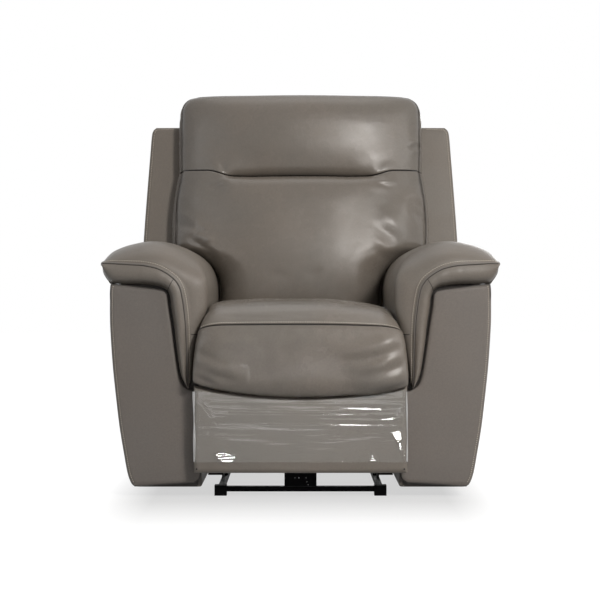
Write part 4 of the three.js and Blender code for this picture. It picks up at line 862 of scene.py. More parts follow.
# %% [markdown]
# Under each pad stands the arm's padded front panel. It is a flat board with thin foam, so its face is
# nearly plain and only its edges roll back. It is drawn between two lines, the inner edge along the
# pad's leg and the outer edge that leans in towards the floor, and a row of stitches follows the outer
# edge just inside it.


# %% A padded panel between two lines
def edge_distance(points, rim):
    """The least distance in the panel's plane from each point to the rim."""
    flat = points.reshape(-1, 2)
    least = np.full(len(flat), 1e9)
    a, b = rim, np.roll(rim, -1, axis=0)
    for start, end in zip(a, b):
        run = end - start
        share = np.clip(((flat - start) @ run) / max(run @ run, 1e-12), 0, 1)
        least = np.minimum(least, np.linalg.norm(flat - start - share[:, None] * run, axis=1))
    return least.reshape(points.shape[:2])


def ruled(inner, outer, rows, columns):
    """A grid between two lines, crowded towards all its edges."""
    down = 0.5 + 0.5 * crowded(rows, 1.5)
    left, right = (
        spline(line, np.interp(down, np.linspace(0, 1, 400), even_places(line, 400))) for line in (inner, outer))
    share = 0.5 + 0.5 * crowded(columns, 1.6)
    return mix(left[:, None], right[:, None], share[None, :, None])


panel_front_y, panel_back_y = (corner.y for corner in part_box("arm_front_panel_left"))
panel_inner_line = [
    (0.262, 0.034), (0.2475, 0.047), (0.2445, 0.075), (0.2445, 0.16), (0.2445, 0.235), (0.249, 0.259),
    (0.268, 0.2655), (0.2865, 0.2745), (0.2985, 0.303), (0.3105, 0.376), (0.3165, 0.421), (0.3235, 0.465),
    (0.3265, 0.489), (0.329, 0.5035), (0.3365, 0.5105), (0.362, 0.5155), (0.395, 0.5195),
    (0.43, 0.5242), (0.4668, 0.5275)]
panel_outer_line = [
    (0.410, 0.0255), (0.419, 0.035), (0.428, 0.06), (0.4365, 0.106), (0.4485, 0.18), (0.4595, 0.276),
    (0.4655, 0.339), (0.4705, 0.418), (0.4714, 0.46), (0.4712, 0.485), (0.4708, 0.508), (0.4694, 0.5250)]


def make_arm_front(side):
    rows, columns = 84, 46
    flat = ruled(panel_inner_line, panel_outer_line, rows, columns)
    rim = flat.reshape(-1, 2)[rim_of(rows, columns)]
    distance = edge_distance(flat, rim)
    under_pad = ease((flat[..., 1] - 0.478) / 0.025)
    roll = mix(8 * mm * rolled(distance, 11 * mm), 3 * mm * rolled(distance, 3.5 * mm), under_pad)
    depth = panel_front_y + roll - 1.5 * mm * ease(distance / (70 * mm))
    groove = 0.9 * mm * np.exp(-(((distance - 7 * mm) / (1.6 * mm)) ** 2)) * ease((flat[..., 0] - 0.36) / 0.05)
    depth = depth + groove + 0.6 * mm * np.sin(flat[..., 1] * 21 + flat[..., 0] * 13) * ease(distance / (40 * mm))
    front = np.stack([flat[..., 0], depth, flat[..., 1]], axis=-1)
    points, faces = padded_board(front, panel_back_y, (0.35, 0.7))
    stitch_line = []
    for i in range(6, rows - 4):
        column = np.where(flat[i, :, 0] > np.median(flat[i, :, 0]))[0]
        order = column[np.argsort(distance[i, column])]
        reach = np.interp(7 * mm, distance[i, order], np.arange(len(order)))
        low = order[int(np.floor(reach))]
        high = order[min(int(np.floor(reach)) + 1, len(order) - 1)]
        stitch_line.append(mix(front[i, low], front[i, high], reach - np.floor(reach)))
    stitch_line = np.array(stitch_line)
    normals = np.tile([0.0, -1.0, 0.0], (len(stitch_line), 1))
    thread_points, thread_faces = stitches_along(stitch_line, normals, *panel_thread)
    # Painted shade along the panel's inner edge and its top under the pad
    shade = 0.8 * close_to(distance, 2.2 * mm) * np.maximum(1 - ease((flat[..., 0] - 0.34) / 0.05), under_pad)
    make_piece(
        "arm_front_" + side, points, faces, front_leather, "base", replaces=["arm_front_panel_" + side], soft=0.9,
        seam=shade.reshape(-1), mirror=side == "right")
    make_piece(
        "arm_front_stitches_" + side, thread_points, thread_faces, thread_finish, "base", mirror=side == "right")


for side in ("left", "right"):
    make_arm_front(side)


# %% [markdown]
# The back is one long form in two pillows. Seen from the front its outline is a T: narrow between the
# arms, opening out over the arm pads and then straight up to rounded top corners. Both pillows are
# parts of one surface, split at a seam that is a deep crease in the middle and shallow at the sides,
# so the hide is pulled into small folds where the crease runs out. The work is done in the back's own
# upright frame, millimetre for millimetre with the pivot at its foot, and then leant back.

# %% The back's own frame
hinge = next(joint for joint in frame["joints"] if joint["name"] == "recline")
hinge_y, hinge_z = hinge["pos_m"][1], hinge["pos_m"][2]
rake = np.radians(12)


def lean(x, y, z):
    """From the back's upright frame to the chair's."""
    x, y, z = np.broadcast_arrays(x, y, z)
    return np.stack([
        x, hinge_y + y * np.cos(rake) + z * np.sin(rake), hinge_z - y * np.sin(rake) + z * np.cos(rake)], axis=-1)


board_front = 22 * mm
edge_thickness = 74 * mm
form_half_width = 352 * mm
seam_level = 519 * mm
crease_half_width = 200 * mm
pillow_bottom, pillow_top = 36 * mm, 764 * mm
corner_radius = 42 * mm
panel_inset = 6.5 * mm
half_width_line = [
    (36, 214), (60, 223), (120, 227), (199, 229), (235, 237), (254, 248), (275, 267), (291, 292), (303, 322),
    (311, 345), (324, 359), (346, 363), (400, 363), (450, 358), (500, 350), (519, 346), (560, 347), (640, 348),
    (722, 347)]
crown_line = [
    (36, 82), (60, 101), (100, 125), (150, 147), (200, 161), (260, 170), (320, 173.5), (380, 173), (440, 169),
    (519, 156), (560, 154), (600, 156), (640, 159), (680, 160.5), (710, 157), (735, 147), (750, 134), (760, 116),
    (764, 97)]


def half_width(level):
    line = np.array(half_width_line) * mm
    places = np.interp(level, line[:, 0], np.arange(len(line)))
    return np.where(
        level > pillow_top - corner_radius,
        line[-1, 1] - corner_radius * (1 - np.sqrt(np.clip(
            1 - ((level - pillow_top + corner_radius) / corner_radius) ** 2, 0, 1))),
        spline(line, places.reshape(-1))[:, 1].reshape(level.shape)) - panel_inset


def crown(level):
    """How far the pillows stand forward of the board at a height, on a smooth line through the crown's points."""
    heights, reaches = np.array(crown_line).T * mm
    slopes = np.gradient(reaches, heights)
    first = np.clip(np.searchsorted(heights, level) - 1, 0, len(heights) - 2)
    span = heights[first + 1] - heights[first]
    t = np.clip((level - heights[first]) / span, 0, 1)
    return curve_between(reaches[first], reaches[first + 1], span * slopes[first], span * slopes[first + 1], t)


def seam_curve(x):
    """The height of the seam between the pillows: straight in the crease, then lifting and settling."""
    past = np.clip((np.abs(x) - crease_half_width) / (130 * mm), 0, 1)
    return seam_level + 13 * mm * ease(past * 2.0) + 11 * mm * past**2


# %% [markdown]
# Folds on the back are read from the front: each row is a line from one point to another, across and up,
# with its width, height and bow, all in millimetres. The crease ends pinch the hide into short folds, the
# pillow's lower corners are creased where they press on the arms, and the right side has the longest pulls.

# %% The folds of the back
back_folds = [
    (-208, 835, -222, 872, 5, -3.8, 3), (-214, 830, -245, 855, 6, 2.4, 0), (-200, 826, -270, 812, 6, 4, 4),
    (-206, 818, -262, 792, 6, -3, 0), (-215, 812, -245, 780, 6, 1.8, 0), (200, 826, 240, 838, 5, -3.8, 0),
    (206, 822, 270, 815, 6, 3, -3), (214, 835, 205, 868, 5, 1.6, 0), (212, 816, 258, 795, 6, -2, 0),
    (362, 924, 300, 914, 5.5, -5, 0), (360, 938, 306, 930, 6, 3, 0), (360, 909, 315, 900, 6, 2, 0),
    (350, 988, 305, 975, 5, -1.6, 0), (350, 968, 310, 957, 5, -1.4, 0), (-365, 698, -258, 672, 10, -4.6, 4),
    (-335, 664, -252, 692, 8, 4, 0), (-310, 648, -262, 712, 7, -4.2, 0), (-282, 622, -235, 676, 8, 3.4, 0),
    (-255, 600, -225, 640, 8, -2.4, 0), (-360, 730, -300, 715, 8, 2, 0), (-320, 656, -240, 618, 7, -4.6, 0),
    (-306, 668, -232, 645, 7, 3.6, 0), (-280, 642, -238, 588, 6, -3.6, 0), (-262, 655, -222, 600, 7, 2.6, 0),
    (300, 640, 195, 760, 14, 2.6, -8), (285, 625, 180, 712, 14, -2.6, -6), (335, 655, 252, 760, 12, -2.2, -5),
    (350, 668, 278, 735, 11, 1.8, 0), (272, 605, 190, 665, 11, 3.2, 0), (262, 585, 195, 626, 10, -2.8, 0),
    (370, 728, 305, 772, 6, -2.6, 3), (370, 748, 318, 790, 6, 2, 3), (370, 705, 310, 730, 7, -2.2, 0),
    (-100, 550, -20, 545, 12, -1.4, 4), (20, 545, 60, 570, 10, -1.6, 0)]


def wide_form(x, level):
    """The pillows' crown across the back's whole width, whatever the outline is at that height."""
    q = np.clip(np.abs(x) / form_half_width, 0, 1)
    power = mix(2.5, 2.0, ease((level - seam_level + 40 * mm) / (90 * mm)))
    return mix(edge_thickness, crown(level), np.clip(1 - q**power, 0, 1) ** 0.62)


def back_depth(x, level, half):
    """How far the pillows stand in front of the board, before the panel edges roll in."""
    full = wide_form(x, level) - (wide_form(half, level) - edge_thickness) * rolled(half - np.abs(x), 80 * mm)
    away = level - seam_curve(x)
    wide = 1 - ease((np.abs(x) - 120 * mm) / (140 * mm))
    tight = 1 - ease((np.abs(x) - crease_half_width + 14 * mm) / (30 * mm))
    above = 37 * mm * wide * rolled(away, 108 * mm) + 17 * mm * tight * rolled(away, 26 * mm)
    below = 34 * mm * wide * rolled(-away, 40 * mm) + 17 * mm * tight * rolled(-away, 18 * mm)
    drop = np.where(away >= 0, above, below) + 3.5 * mm * rolled(np.abs(away), 7 * mm) * (1 - tight)
    return full - drop


def dress_back(x, level, half):
    depth = back_depth(x, level, half)
    place = lean(x, -depth, level)
    for crease in back_folds:
        depth = depth + fold(place[..., 0], place[..., 2], crease)
    return depth + 0.77 * mm * np.sin(place[..., 0] * 17 + 0.7) * np.sin(place[..., 2] * 23 + 1.1)


def pillow_surface(levels, across, seam_row):
    """The front of a pillow. seam_row says which end row follows the seam between the pillows: 0 or -1."""
    level = np.repeat(levels[:, None], len(across), axis=1)
    half = half_width(level)
    x = across[None, :] * half
    shift = seam_curve(x[seam_row]) - level[seam_row]
    span = abs(levels[-1] - levels[0])
    weight = 1 - np.clip(np.abs(levels - levels[seam_row]) / (0.5 * span), 0, 1)
    level = level + ease(weight)[:, None] * shift[None, :]
    depth = dress_back(x, level, half)
    end_level = levels[0] if seam_row == -1 else levels[-1]
    distance = np.minimum(half - np.abs(x), np.abs(level - end_level))
    depth = depth - 6 * mm * rolled(distance, 13 * mm)
    return lean(x, -depth, level), x, level, depth


def make_pillow(name, levels, seam_row, loose):
    across = crowded(97, 1.7)
    front, x, level, depth = pillow_surface(levels, across, seam_row)
    even_levels = np.linspace(levels[0], levels[-1], max(24, int(abs(levels[-1] - levels[0]) / (7 * mm))))
    even_across = np.linspace(-1, 1, 90)
    even = pillow_surface(even_levels, even_across, seam_row)[0]
    moved = settled(name, even, sewn_rim(*even.shape[:2]), loose)
    front = front + resample(
        moved, np.interp(levels, even_levels, np.arange(len(even_levels))),
        (across + 1) / 2 * (len(even_across) - 1))
    return front, x, level, depth


lumbar_levels = mix(pillow_bottom, seam_level - 0.8 * mm, 1 - (1 - np.linspace(0, 1, 100)) ** 1.35)
lumbar = make_pillow(
    "lumbar panel", lumbar_levels, -1,
    [(-0.225, 0.822, 0.03), (0.225, 0.822, 0.026), (0.29, 0.69, 0.06), (-0.31, 0.675, 0.04), (0.33, 0.76, 0.03)])
straight = pillow_top - corner_radius
turns = np.linspace(0, np.pi / 2, 13)[1:]
head_levels = np.concatenate([
    seam_level + 0.8 * mm + (straight - seam_level) * np.linspace(0, 1, 52)[:-1] ** 1.3,
    [straight], straight + corner_radius * np.sin(turns)])
head = make_pillow(
    "head panel", head_levels, 0, [(-0.225, 0.845, 0.03), (0.225, 0.845, 0.026), (0.335, 0.92, 0.022)])


# %% [markdown]
# Each pillow is closed behind by its boxing. The lumbar pillow's boxing goes straight back to the board;
# the head pillow's goes up over the wings and comes down behind them as a soft roll, which is what shows
# above the back from behind.


# %% Close the pillows and cover them
pillow_fullness = 0.75


def close_pillow(name, node, front, x, level, depth, rear_at):
    rows, columns = x.shape
    rim = rim_of(rows, columns)
    rim_x, rim_level, rim_depth = (a.reshape(-1)[rim] for a in (x, level, depth))
    rear = rear_at(rim_level)
    outward_x = np.sign(rim_x) * (np.abs(rim_x) > 0.92 * half_width(rim_level))
    outward_z = (rim_level > straight) * 1.0
    loops = []
    for share in (0.03, 0.08, 0.16, 0.28, 0.42, 0.58, 0.74, 0.88, 0.97):
        reach = mix(-rim_depth, rear, share)
        swell = 8.5 * mm * np.sin(np.pi * share**0.6) ** 0.7 - 6 * mm * max(0.0, share - 0.8) / 0.2
        up = np.clip((rim_level - straight) / corner_radius, 0, 1)
        fall = np.where(rear > 0, 22 * mm * share**4 * up, 0)
        loops.append(lean(
            rim_x + outward_x * swell * (1 - 0.5 * up), reach, rim_level + 0.2 * outward_z * swell * up - fall))
    # Painted shade: the leather goes near black along the piped edges and in the crease between the pillows
    seam = np.zeros(2 * x.size)
    edge_gap = np.minimum(half_width(level) - np.abs(x), np.maximum(pillow_top - level, 0))
    piped = ease((level - 292 * mm) / (8 * mm))
    seam[:x.size] = np.maximum(
        0.6 * close_to(edge_gap, 2.4 * mm) * piped, close_to(np.abs(level - seam_curve(x)), 1.2 * mm)).reshape(-1)
    back_rear = rear_at(level)
    back = lean(x * 0.97, back_rear - 1 * mm, level - 26 * mm * np.clip(
        (level - straight) / corner_radius, 0, 1) * (back_rear > 0))
    points, faces = boxed(front, loops, back, turned=True)
    make_piece(name, points, faces, leather, "backrest", replaces=[node], soft=pillow_fullness, seam=seam)


def lumbar_rear(level):
    return np.full_like(level, -board_front - 0.6 * mm)


wing_top = 695 * mm


def head_rear(level):
    over = ease((level - wing_top - 1.5 * mm) / (16 * mm))
    return mix(-board_front - 0.6 * mm, 62 * mm, over)


close_pillow("lumbar_cover", "lumbar_cushion", *lumbar, lumbar_rear)
close_pillow("head_cover", "head_cushion", *head, head_rear)

# %% [markdown]
# Piping runs up both sides of the back and over its top, in the seam between the front panels and the
# boxing. It is one cord on the real chair, so it is one line here, taken from the panels' own edges.

# %% Piping round the back
lumbar_front = lumbar[0][np.searchsorted(lumbar_levels, 294 * mm):]
head_front = head[0]
piping_line = np.concatenate([
    lumbar_front[::3, -1], head_front[4::4, -1], head_front[-1, -4:2:-4], head_front[:3:-4, 0],
    lumbar_front[::-3, 0]])
middle_of_back = np.array([0, np.mean(piping_line[:, 1]), 0.8])
outward = piping_line - middle_of_back
outward[:, 1] = 0
piping_line = piping_line + unit(outward) * 0.8 * mm - np.array([0, 1.2 * mm, 0])
piping_line = through(piping_line, 700)
piping_points, piping_faces = cord_along(piping_line, 2.3 * mm)
make_piece("back_piping", piping_points, piping_faces, piping_leather, "backrest")
print("piping", round(along(piping_line)[-1], 2), "m")

# %% [markdown]
# The side wings stand behind the pillows. They are boards with a thin pad, so they are flat with rolled
# edges and one row of stitches just inside the outer edge.

# %% Side wings
wing_rear = 80 * mm
wing_inner_line = [(0.3004, 0.176), (0.3004, 0.3), (0.3004, 0.45), (0.3004, 0.6), (0.3004, 0.694)]
wing_outer_line = [
    (0.4555, 0.176), (0.4535, 0.26), (0.449, 0.38), (0.4425, 0.5), (0.4365, 0.6), (0.4325, 0.665),
    (0.4285, 0.684), (0.419, 0.6935)]


def make_wing(side):
    rows, columns = 64, 40
    flat = ruled(wing_inner_line, wing_outer_line, rows, columns)
    rim = flat.reshape(-1, 2)[rim_of(rows, columns)]
    distance = edge_distance(flat, rim)
    depth = board_front - 9 * mm * rolled(distance, 14 * mm) + 1.5 * mm * ease(distance / (50 * mm))
    depth = depth - 0.9 * mm * np.exp(-(((distance - 7.5 * mm) / (1.6 * mm)) ** 2)) * (flat[..., 0] > 0.38)
    front = lean(flat[..., 0], -depth, flat[..., 1])
    back = lean(flat[..., 0], np.full_like(depth, wing_rear), flat[..., 1])
    loops = []
    rim_depth = -depth.reshape(-1)[rim_of(rows, columns)]
    for share in (0.12, 0.5, 0.9, 0.97):
        draw = 2 * mm * max(0.0, share - 0.9) / 0.1 * (rim[:, 0] > 0.41)
        loops.append(lean(rim[:, 0] - draw, mix(rim_depth, wing_rear, share), rim[:, 1]))
    points, faces = boxed(front, loops, back, turned=True)
    line = []
    for i in range(2, rows - 3):
        outer_half = np.arange(columns - 1, columns // 2 - 1, -1)
        column = np.interp(7.5 * mm, distance[i, outer_half], outer_half)
        low = int(np.floor(column))
        line.append(mix(front[i, low], front[i, min(low + 1, columns - 1)], column - low))
    line = np.array(line)
    facing = lean(0, -1.0, 0) - lean(0, 0, 0)
    thread_points, thread_faces = stitches_along(line, np.tile(facing, (len(line), 1)), *panel_thread)
    make_piece(
        "wing_cover_" + side, points, faces, panel_leather, "backrest", replaces=["back_wing_" + side], soft=0.9,
        mirror=side == "right")
    make_piece(
        "wing_stitches_" + side, thread_points, thread_faces, thread_finish, "backrest", mirror=side == "right")


for side in ("left", "right"):
    make_wing(side)

# %% [markdown]
# The rear shell is not in the photo. It closes the back with a thin padded panel that is sewn to its side
# strips and, low down, to a flat skirt that hangs behind the seat, so it has two upright seams and one
# level one.

# %% The rear shell
shell_front, shell_full = 80.6 * mm, 7.5 * mm
skirt_bottom, skirt_half, skirt_top, shell_top = -119.5 * mm, 225.5 * mm, 181.8 * mm, 687.5 * mm
shell_seam_share = 0.74
near_seam = np.array([-6, -3, -1.6, -0.8, 0, 0.8, 1.6, 3, 6])


def shell_half(level):
    side = np.array(wing_outer_line) - np.array([7 * mm, 7 * mm])
    return np.where(level < skirt_top, skirt_half, np.interp(level, side[:, 1], side[:, 0]))


shell_seam_level = skirt_top + 9 * mm
shell_levels = np.sort(np.concatenate([
    skirt_bottom + np.array([0, 1, 2.5, 5, 9]) * mm, np.linspace(skirt_bottom + 16 * mm, skirt_top - 1 * mm, 24),
    [skirt_top + 0.4 * mm], shell_seam_level + near_seam * mm,
    np.linspace(skirt_top + 22 * mm, shell_top - 14 * mm, 40),
    shell_top - np.array([9, 5, 2.5, 1, 0]) * mm]))
shell_across = np.sort(np.concatenate([
    crowded(45, 1.5), shell_seam_share + near_seam * 0.0023, -shell_seam_share + near_seam * 0.0023]))
shell_level = np.repeat(shell_levels[:, None], len(shell_across), axis=1)
shell_x = shell_half(shell_level) * shell_across[None, :]
shell_edge = np.minimum(shell_half(shell_level) - np.abs(shell_x), np.minimum(
    shell_level - skirt_bottom, shell_top - shell_level))
upright_seam = np.abs(np.abs(shell_across) - shell_seam_share)[None, :] * shell_half(shell_level)
upright_seam = np.where(shell_level > shell_seam_level, upright_seam, 1.0)
level_seam = np.abs(shell_level - shell_seam_level)
to_seam = np.minimum(upright_seam, level_seam)
shell_depth = shell_full * (1 - rolled(shell_edge, 11 * mm))
shell_depth += 4 * mm * ease(np.minimum(to_seam, shell_edge) / (70 * mm))
shell_depth -= 2.4 * mm * np.exp(-((to_seam / (2.2 * mm)) ** 2))
shell_back = lean(shell_x, shell_front + shell_depth, shell_level)
shell_inner = lean(shell_x, np.full_like(shell_x, shell_front), shell_level)
shell_points, shell_faces = boxed(shell_back, [], shell_inner)
# The shell's seams get painted shade along them
make_piece(
    "back_shell_cover", shell_points, shell_faces, panel_leather, "backrest", replaces=["back_shell"], soft=0.9,
    seam=close_to(to_seam, 1.1 * mm).reshape(-1))
print("rear shell", shell_back.shape)

# %% [markdown]
# Between the wings, a leather strip closes the top of the back from the board to the shell.

# %% The strip that closes the back above the shell
strip_across = crowded(41, 1.5)
strip_turn = np.linspace(0, 1, 15)
strip_y = mix(3 * mm, 79.8 * mm, strip_turn)
strip_level = 672 * mm + 17 * mm * np.sin(np.pi * strip_turn) ** 0.5
strip_x = strip_across[None, :] * 299 * mm
strip_top = lean(strip_x, strip_y[:, None], strip_level[:, None])
strip_under = lean(strip_x, strip_y[:, None], 668 * mm)
strip_points, strip_faces = boxed(strip_top, [], strip_under)
make_piece("back_top_strip", strip_points, strip_faces, panel_leather, "backrest")

# %% [markdown]
# The seat cushion is the fullest piece. Its cover comes up from under the nose, over a rounded front and
# back between the arms, with one cross seam high on the front that is top-stitched. The sides of the
# nose are wider than the space between the arms, since nothing holds it there. Long soft pulls run from
# its right side, and the strip above the seam has fine lines along it.

# %% The seat cushion's profile
seat_back_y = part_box("seat_cushion")[1].y
seat_profile = [
    (-0.030, 0.262), (-0.040, 0.2535), (-0.049, 0.262), (-0.0565, 0.284), (-0.0598, 0.318), (-0.060, 0.35),
    (-0.0565, 0.385), (-0.0495, 0.412), (-0.0425, 0.4285), (-0.033, 0.442), (-0.013, 0.462), (0.012, 0.476),
    (0.05, 0.486), (0.11, 0.4895), (0.20, 0.4895), (0.30, 0.487), (0.38, 0.481), (0.45, 0.470), (0.492, 0.448),
    (0.511, 0.41), (0.511, 0.345)]
seat_half_line = [
    (0.2595, 0.0), (0.2615, 1.0), (0.2625, 2.0), (0.2628, 3.0), (0.2615, 4.0), (0.2592, 5.0), (0.2562, 6.0),
    (0.252, 7.0), (0.2495, 8.0), (0.2465, 9.0), (0.238, 10.0), (0.2295, 11.0), (0.2288, 12.0), (0.2288, 18.0),
    (0.228, 20.0)]
seam_place = 8.0
seat_columns = 121
seat_walk = even_places(seat_profile, 400)
seat_reach = along(spline(seat_profile, seat_walk))
seam_at = np.interp(seam_place, seat_walk, seat_reach)
seam_steps = np.array([-5.2, -3.6, -2.4, -1.5, -0.8, 0.0, 0.8, 1.5, 2.4, 3.6, 5.2]) * mm
plain_steps = np.linspace(0, seat_reach[-1], 180)
plain_steps = plain_steps[np.abs(plain_steps - seam_at) > 6.5 * mm]
seat_steps = np.sort(np.concatenate([plain_steps, seam_at + seam_steps]))
seat_places = np.interp(seat_steps, seat_reach, seat_walk)
seat_rows = len(seat_places)
seat_line = spline(seat_profile, seat_places)
nose_rise = 0.020
nose_rise_left_extra = 0.008

# %% [markdown]
# The seat's rows are read as those of the back. The fine lines of the strip above the seam run from one
# place across to another at a height, with a width in metres and a height in millimetres.

# %% The seat's folds, seen from the front
seat_folds = [
    (262, 408, 60, 368, 20, 7, 20), (264, 386, 80, 336, 13, -3, 16), (268, 364, 100, 325, 18, 7.5, 16),
    (268, 342, 130, 302, 13, -3.2, 9), (285, 320, 110, 276, 30, 12, 9), (272, 288, 170, 266, 10, -4, 5),
    (100, 325, -140, 312, 34, 4, 0), (190, 282, -220, 282, 32, 5, 0), (-270, 350, -100, 305, 18, 3.6, -8),
    (-266, 374, -170, 336, 11, -3.2, -9), (-264, 401, -90, 382, 18, 2.4, -6),
    (-268, 326, -130, 288, 11, -2.8, -5), (-264, 300, -200, 281, 8, -2.4, 0),
    (-150, 422, -20, 416, 12, -0.7, 4)]
strip_lines = [
    (-0.20, 0.06, 0.448, 0.0016, -0.7), (-0.14, 0.17, 0.456, 0.0018, -0.6), (-0.19, 0.02, 0.4635, 0.0018, -0.55),
    (-0.05, 0.2, 0.4695, 0.002, -0.5), (-0.17, 0.1, 0.476, 0.002, -0.5), (0.03, 0.21, 0.449, 0.0016, -0.5)]


def seat_surface(steps, across):
    """The seat's cover at steps along its profile, for shares across its width."""
    places = np.interp(steps, seat_reach, seat_walk)
    line = spline(seat_profile, places)
    slope = unit(spline(seat_profile, places + 0.01) - spline(seat_profile, places - 0.01))
    out = np.stack([-slope[:, 1], slope[:, 0]], axis=-1)[:, None, :]
    widths, width_places = zip(*seat_half_line)
    half = np.interp(places, width_places, widths)[:, None]
    x = across[None, :] * half
    line = np.repeat(line[:, None, :], len(across), axis=1)
    nose_share = 1 - ease((places - 2.0) / 5.0)[:, None]
    corner = (nose_rise + nose_rise_left_extra * (across[None, :] < 0)) * np.abs(across)[None, :] ** 2.2
    on_top = ease((places - 6.2) / 6.0)[:, None]
    crest_right = 17 * mm * np.clip((x - 0.03) / 0.16, 0, 2) ** 1.8
    crest_left = 9 * mm * np.clip((-0.085 - x) / 0.14, 0, 2) ** 1.5
    line[..., 1] += corner * nose_share - (crest_right + crest_left) * on_top
    on_nose = 1 - ease((places - 8.0) / 3.0)[:, None]
    side_radius = mix(40 * mm, 62 * mm, on_nose)
    side_drop = mix(15 * mm, mix(7 * mm, 30 * mm, ease((places - 1.5) / 3.5)[:, None]), on_nose)
    lift = -side_drop * rolled(half - np.abs(x), side_radius)
    past_seam = (steps - seam_at)[:, None]
    lift = lift - 3.0 * mm * np.exp(-((past_seam / (1.5 * mm)) ** 2))
    lift = lift - 1.2 * mm * rolled(-past_seam, 12 * mm) * (past_seam < 0)
    lift = lift + 1.3 * mm * np.exp(-(((past_seam - 3.4 * mm) / (2.2 * mm)) ** 2))
    for crease in seat_folds:
        lift = lift + fold(x, line[..., 1], crease) * on_nose
    for x0, x1, level, width, height in strip_lines:
        reach = np.clip((x - x0) / (x1 - x0), 0, 1)
        wave = level + 0.0025 * np.sin(reach * 5 + level * 90)
        rise = height * mm * np.sin(np.pi * reach) ** 0.5
        lift = lift + rise * np.exp(-(((line[..., 1] - wave) / width) ** 2))
    out = out * lift[..., None]
    return np.stack([x, FRONT_Y + line[..., 0] + out[..., 0], line[..., 1] + out[..., 1]], axis=-1), x, corner


across = crowded(seat_columns, 1.6)
seat_front, seat_x, corner_lift = seat_surface(seat_steps, across)
seat_half = seat_x[:, -1]
nose_share = 1 - ease((seat_places - 2.0) / 5.0)[:, None]
even_rows, even_columns = 120, 76
even_steps = np.linspace(seat_steps[0], seat_steps[-1], even_rows)
even_seat = seat_surface(even_steps, np.linspace(-1, 1, even_columns))[0]
seat_held = sewn_rim(*even_seat.shape[:2])
seat_held[int(np.argmin(np.abs(even_steps - seam_at)))] = 1
seat_moved = settled(
    "seat panel", even_seat, seat_held,
    [(0.245, 0.37, 0.04), (0.25, 0.31, 0.035), (-0.255, 0.36, 0.024), (-0.255, 0.30, 0.022)])
seat_front = seat_front + resample(
    seat_moved, np.interp(seat_steps, even_steps, np.arange(even_rows)), (across + 1) / 2 * (even_columns - 1))

# %% [markdown]
# Underneath, the cover follows the cushion's profile at a lower line: a lip inside the nose, then flat on
# the seat's frame.

# %% Close the seat cushion underneath
under_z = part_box("seat_frame")[1].z + 0.6 * mm
seat_under = seat_front.copy()
under_line = np.zeros((seat_rows, 2))
under_line[:, 0] = np.clip(seat_line[:, 0], -0.0042, seat_back_y - FRONT_Y - 6 * mm)
under_line[:, 1] = under_z
lip_share = np.clip(seat_places / 6.0, 0, 1)
lip_line = through([
    (-0.0285, 0.2685), (-0.0225, 0.275), (-0.0105, 0.289), (-0.0046, 0.298), (-0.0043, 0.318)], 60)
lip_places = np.interp(lip_share, np.linspace(0, 1, 60), np.arange(60))
for k in range(2):
    lip_values = np.interp(lip_places, np.arange(60), lip_line[:, k])
    under_line[:, k] = np.where(seat_places < 6.0, lip_values, under_line[:, k])
between = (seat_places >= 6.0) & (seat_line[:, 0] < 0.0)
under_line[between, 0] = -0.0042
under_line[between, 1] = mix(0.3185, under_z, np.linspace(0, 1, between.sum()))
seat_under[..., 1] = FRONT_Y + under_line[:, None, 0]
seat_under[..., 2] = under_line[:, None, 1] + corner_lift * nose_share
seat_under[..., 0] = seat_x * 0.985
rim = rim_of(seat_rows, seat_columns)
front_rim, under_rim = seat_front.reshape(-1, 3)[rim], seat_under.reshape(-1, 3)[rim]
seat_loops = []
for share in (0.15, 0.35, 0.6, 0.85):
    ring = mix(front_rim, under_rim, share)
    sides = np.abs(front_rim[:, 0]) > 0.97 * np.interp(rim // seat_columns, np.arange(seat_rows), seat_half)
    ring[:, 0] += np.sign(front_rim[:, 0]) * sides * 0.6 * mm * np.sin(np.pi * share)
    seat_loops.append(ring)
seat_points, seat_faces = boxed(seat_front, seat_loops, seat_under, turned=True)
# Painted shade along the seat's cross seam
seat_seam = np.repeat(close_to(np.abs(seat_steps - seam_at), 1.0 * mm), seat_columns)
make_piece(
    "seat_cover", seat_points, seat_faces, leather, "seat", replaces=["seat_cushion"], soft=0.8, seam=seat_seam)

# %% [markdown]
# The cross seam is top-stitched just above it with the same thread as the arm pads.

# %% The seat's top-stitching
stitch_row = int(np.searchsorted(seat_steps, seam_at + 5 * mm))
seat_stitch_line = seat_front[stitch_row, 5:-5]
seat_rise = seat_front[stitch_row + 1, 5:-5] - seat_front[stitch_row - 1, 5:-5]
seat_normals = np.stack([0 * seat_rise[:, 0], -seat_rise[:, 2], seat_rise[:, 1]], axis=-1)
thread_points, thread_faces = stitches_along(seat_stitch_line, seat_normals, *seat_thread, slant=0.5)
make_piece("seat_stitches", thread_points, thread_faces, thread_finish, "seat")
print("seat cover", len(seat_points), "points")

# %% [markdown]
# Below the seat hangs the footrest, folded away. Its panel is a thin pad on a board. The chair is new,
# and the panel still wears its clear protective film: a stiff, glossy sheet pulled over it, with long
# shallow wrinkles and a few sharp dents that catch the lamps.

# %% The footrest panel
rest_low, rest_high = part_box("footrest_panel")
rest_rows, rest_columns = 54, 90
rest_across = crowded(rest_columns, 1.8)


def rest_top(x):
    return 0.2500 + 0.0272 * (np.abs(x) / 0.264) ** 2


def rest_grid(bottom, inset, top_gap, rows, columns_across):
    x = columns_across[None, :] * (rest_high.x - inset) * np.ones((rows, 1))
    up = 0.5 + 0.5 * crowded(rows, 1.5)[:, None]
    z = mix(bottom, rest_top(x) - top_gap, up)
    return x, z


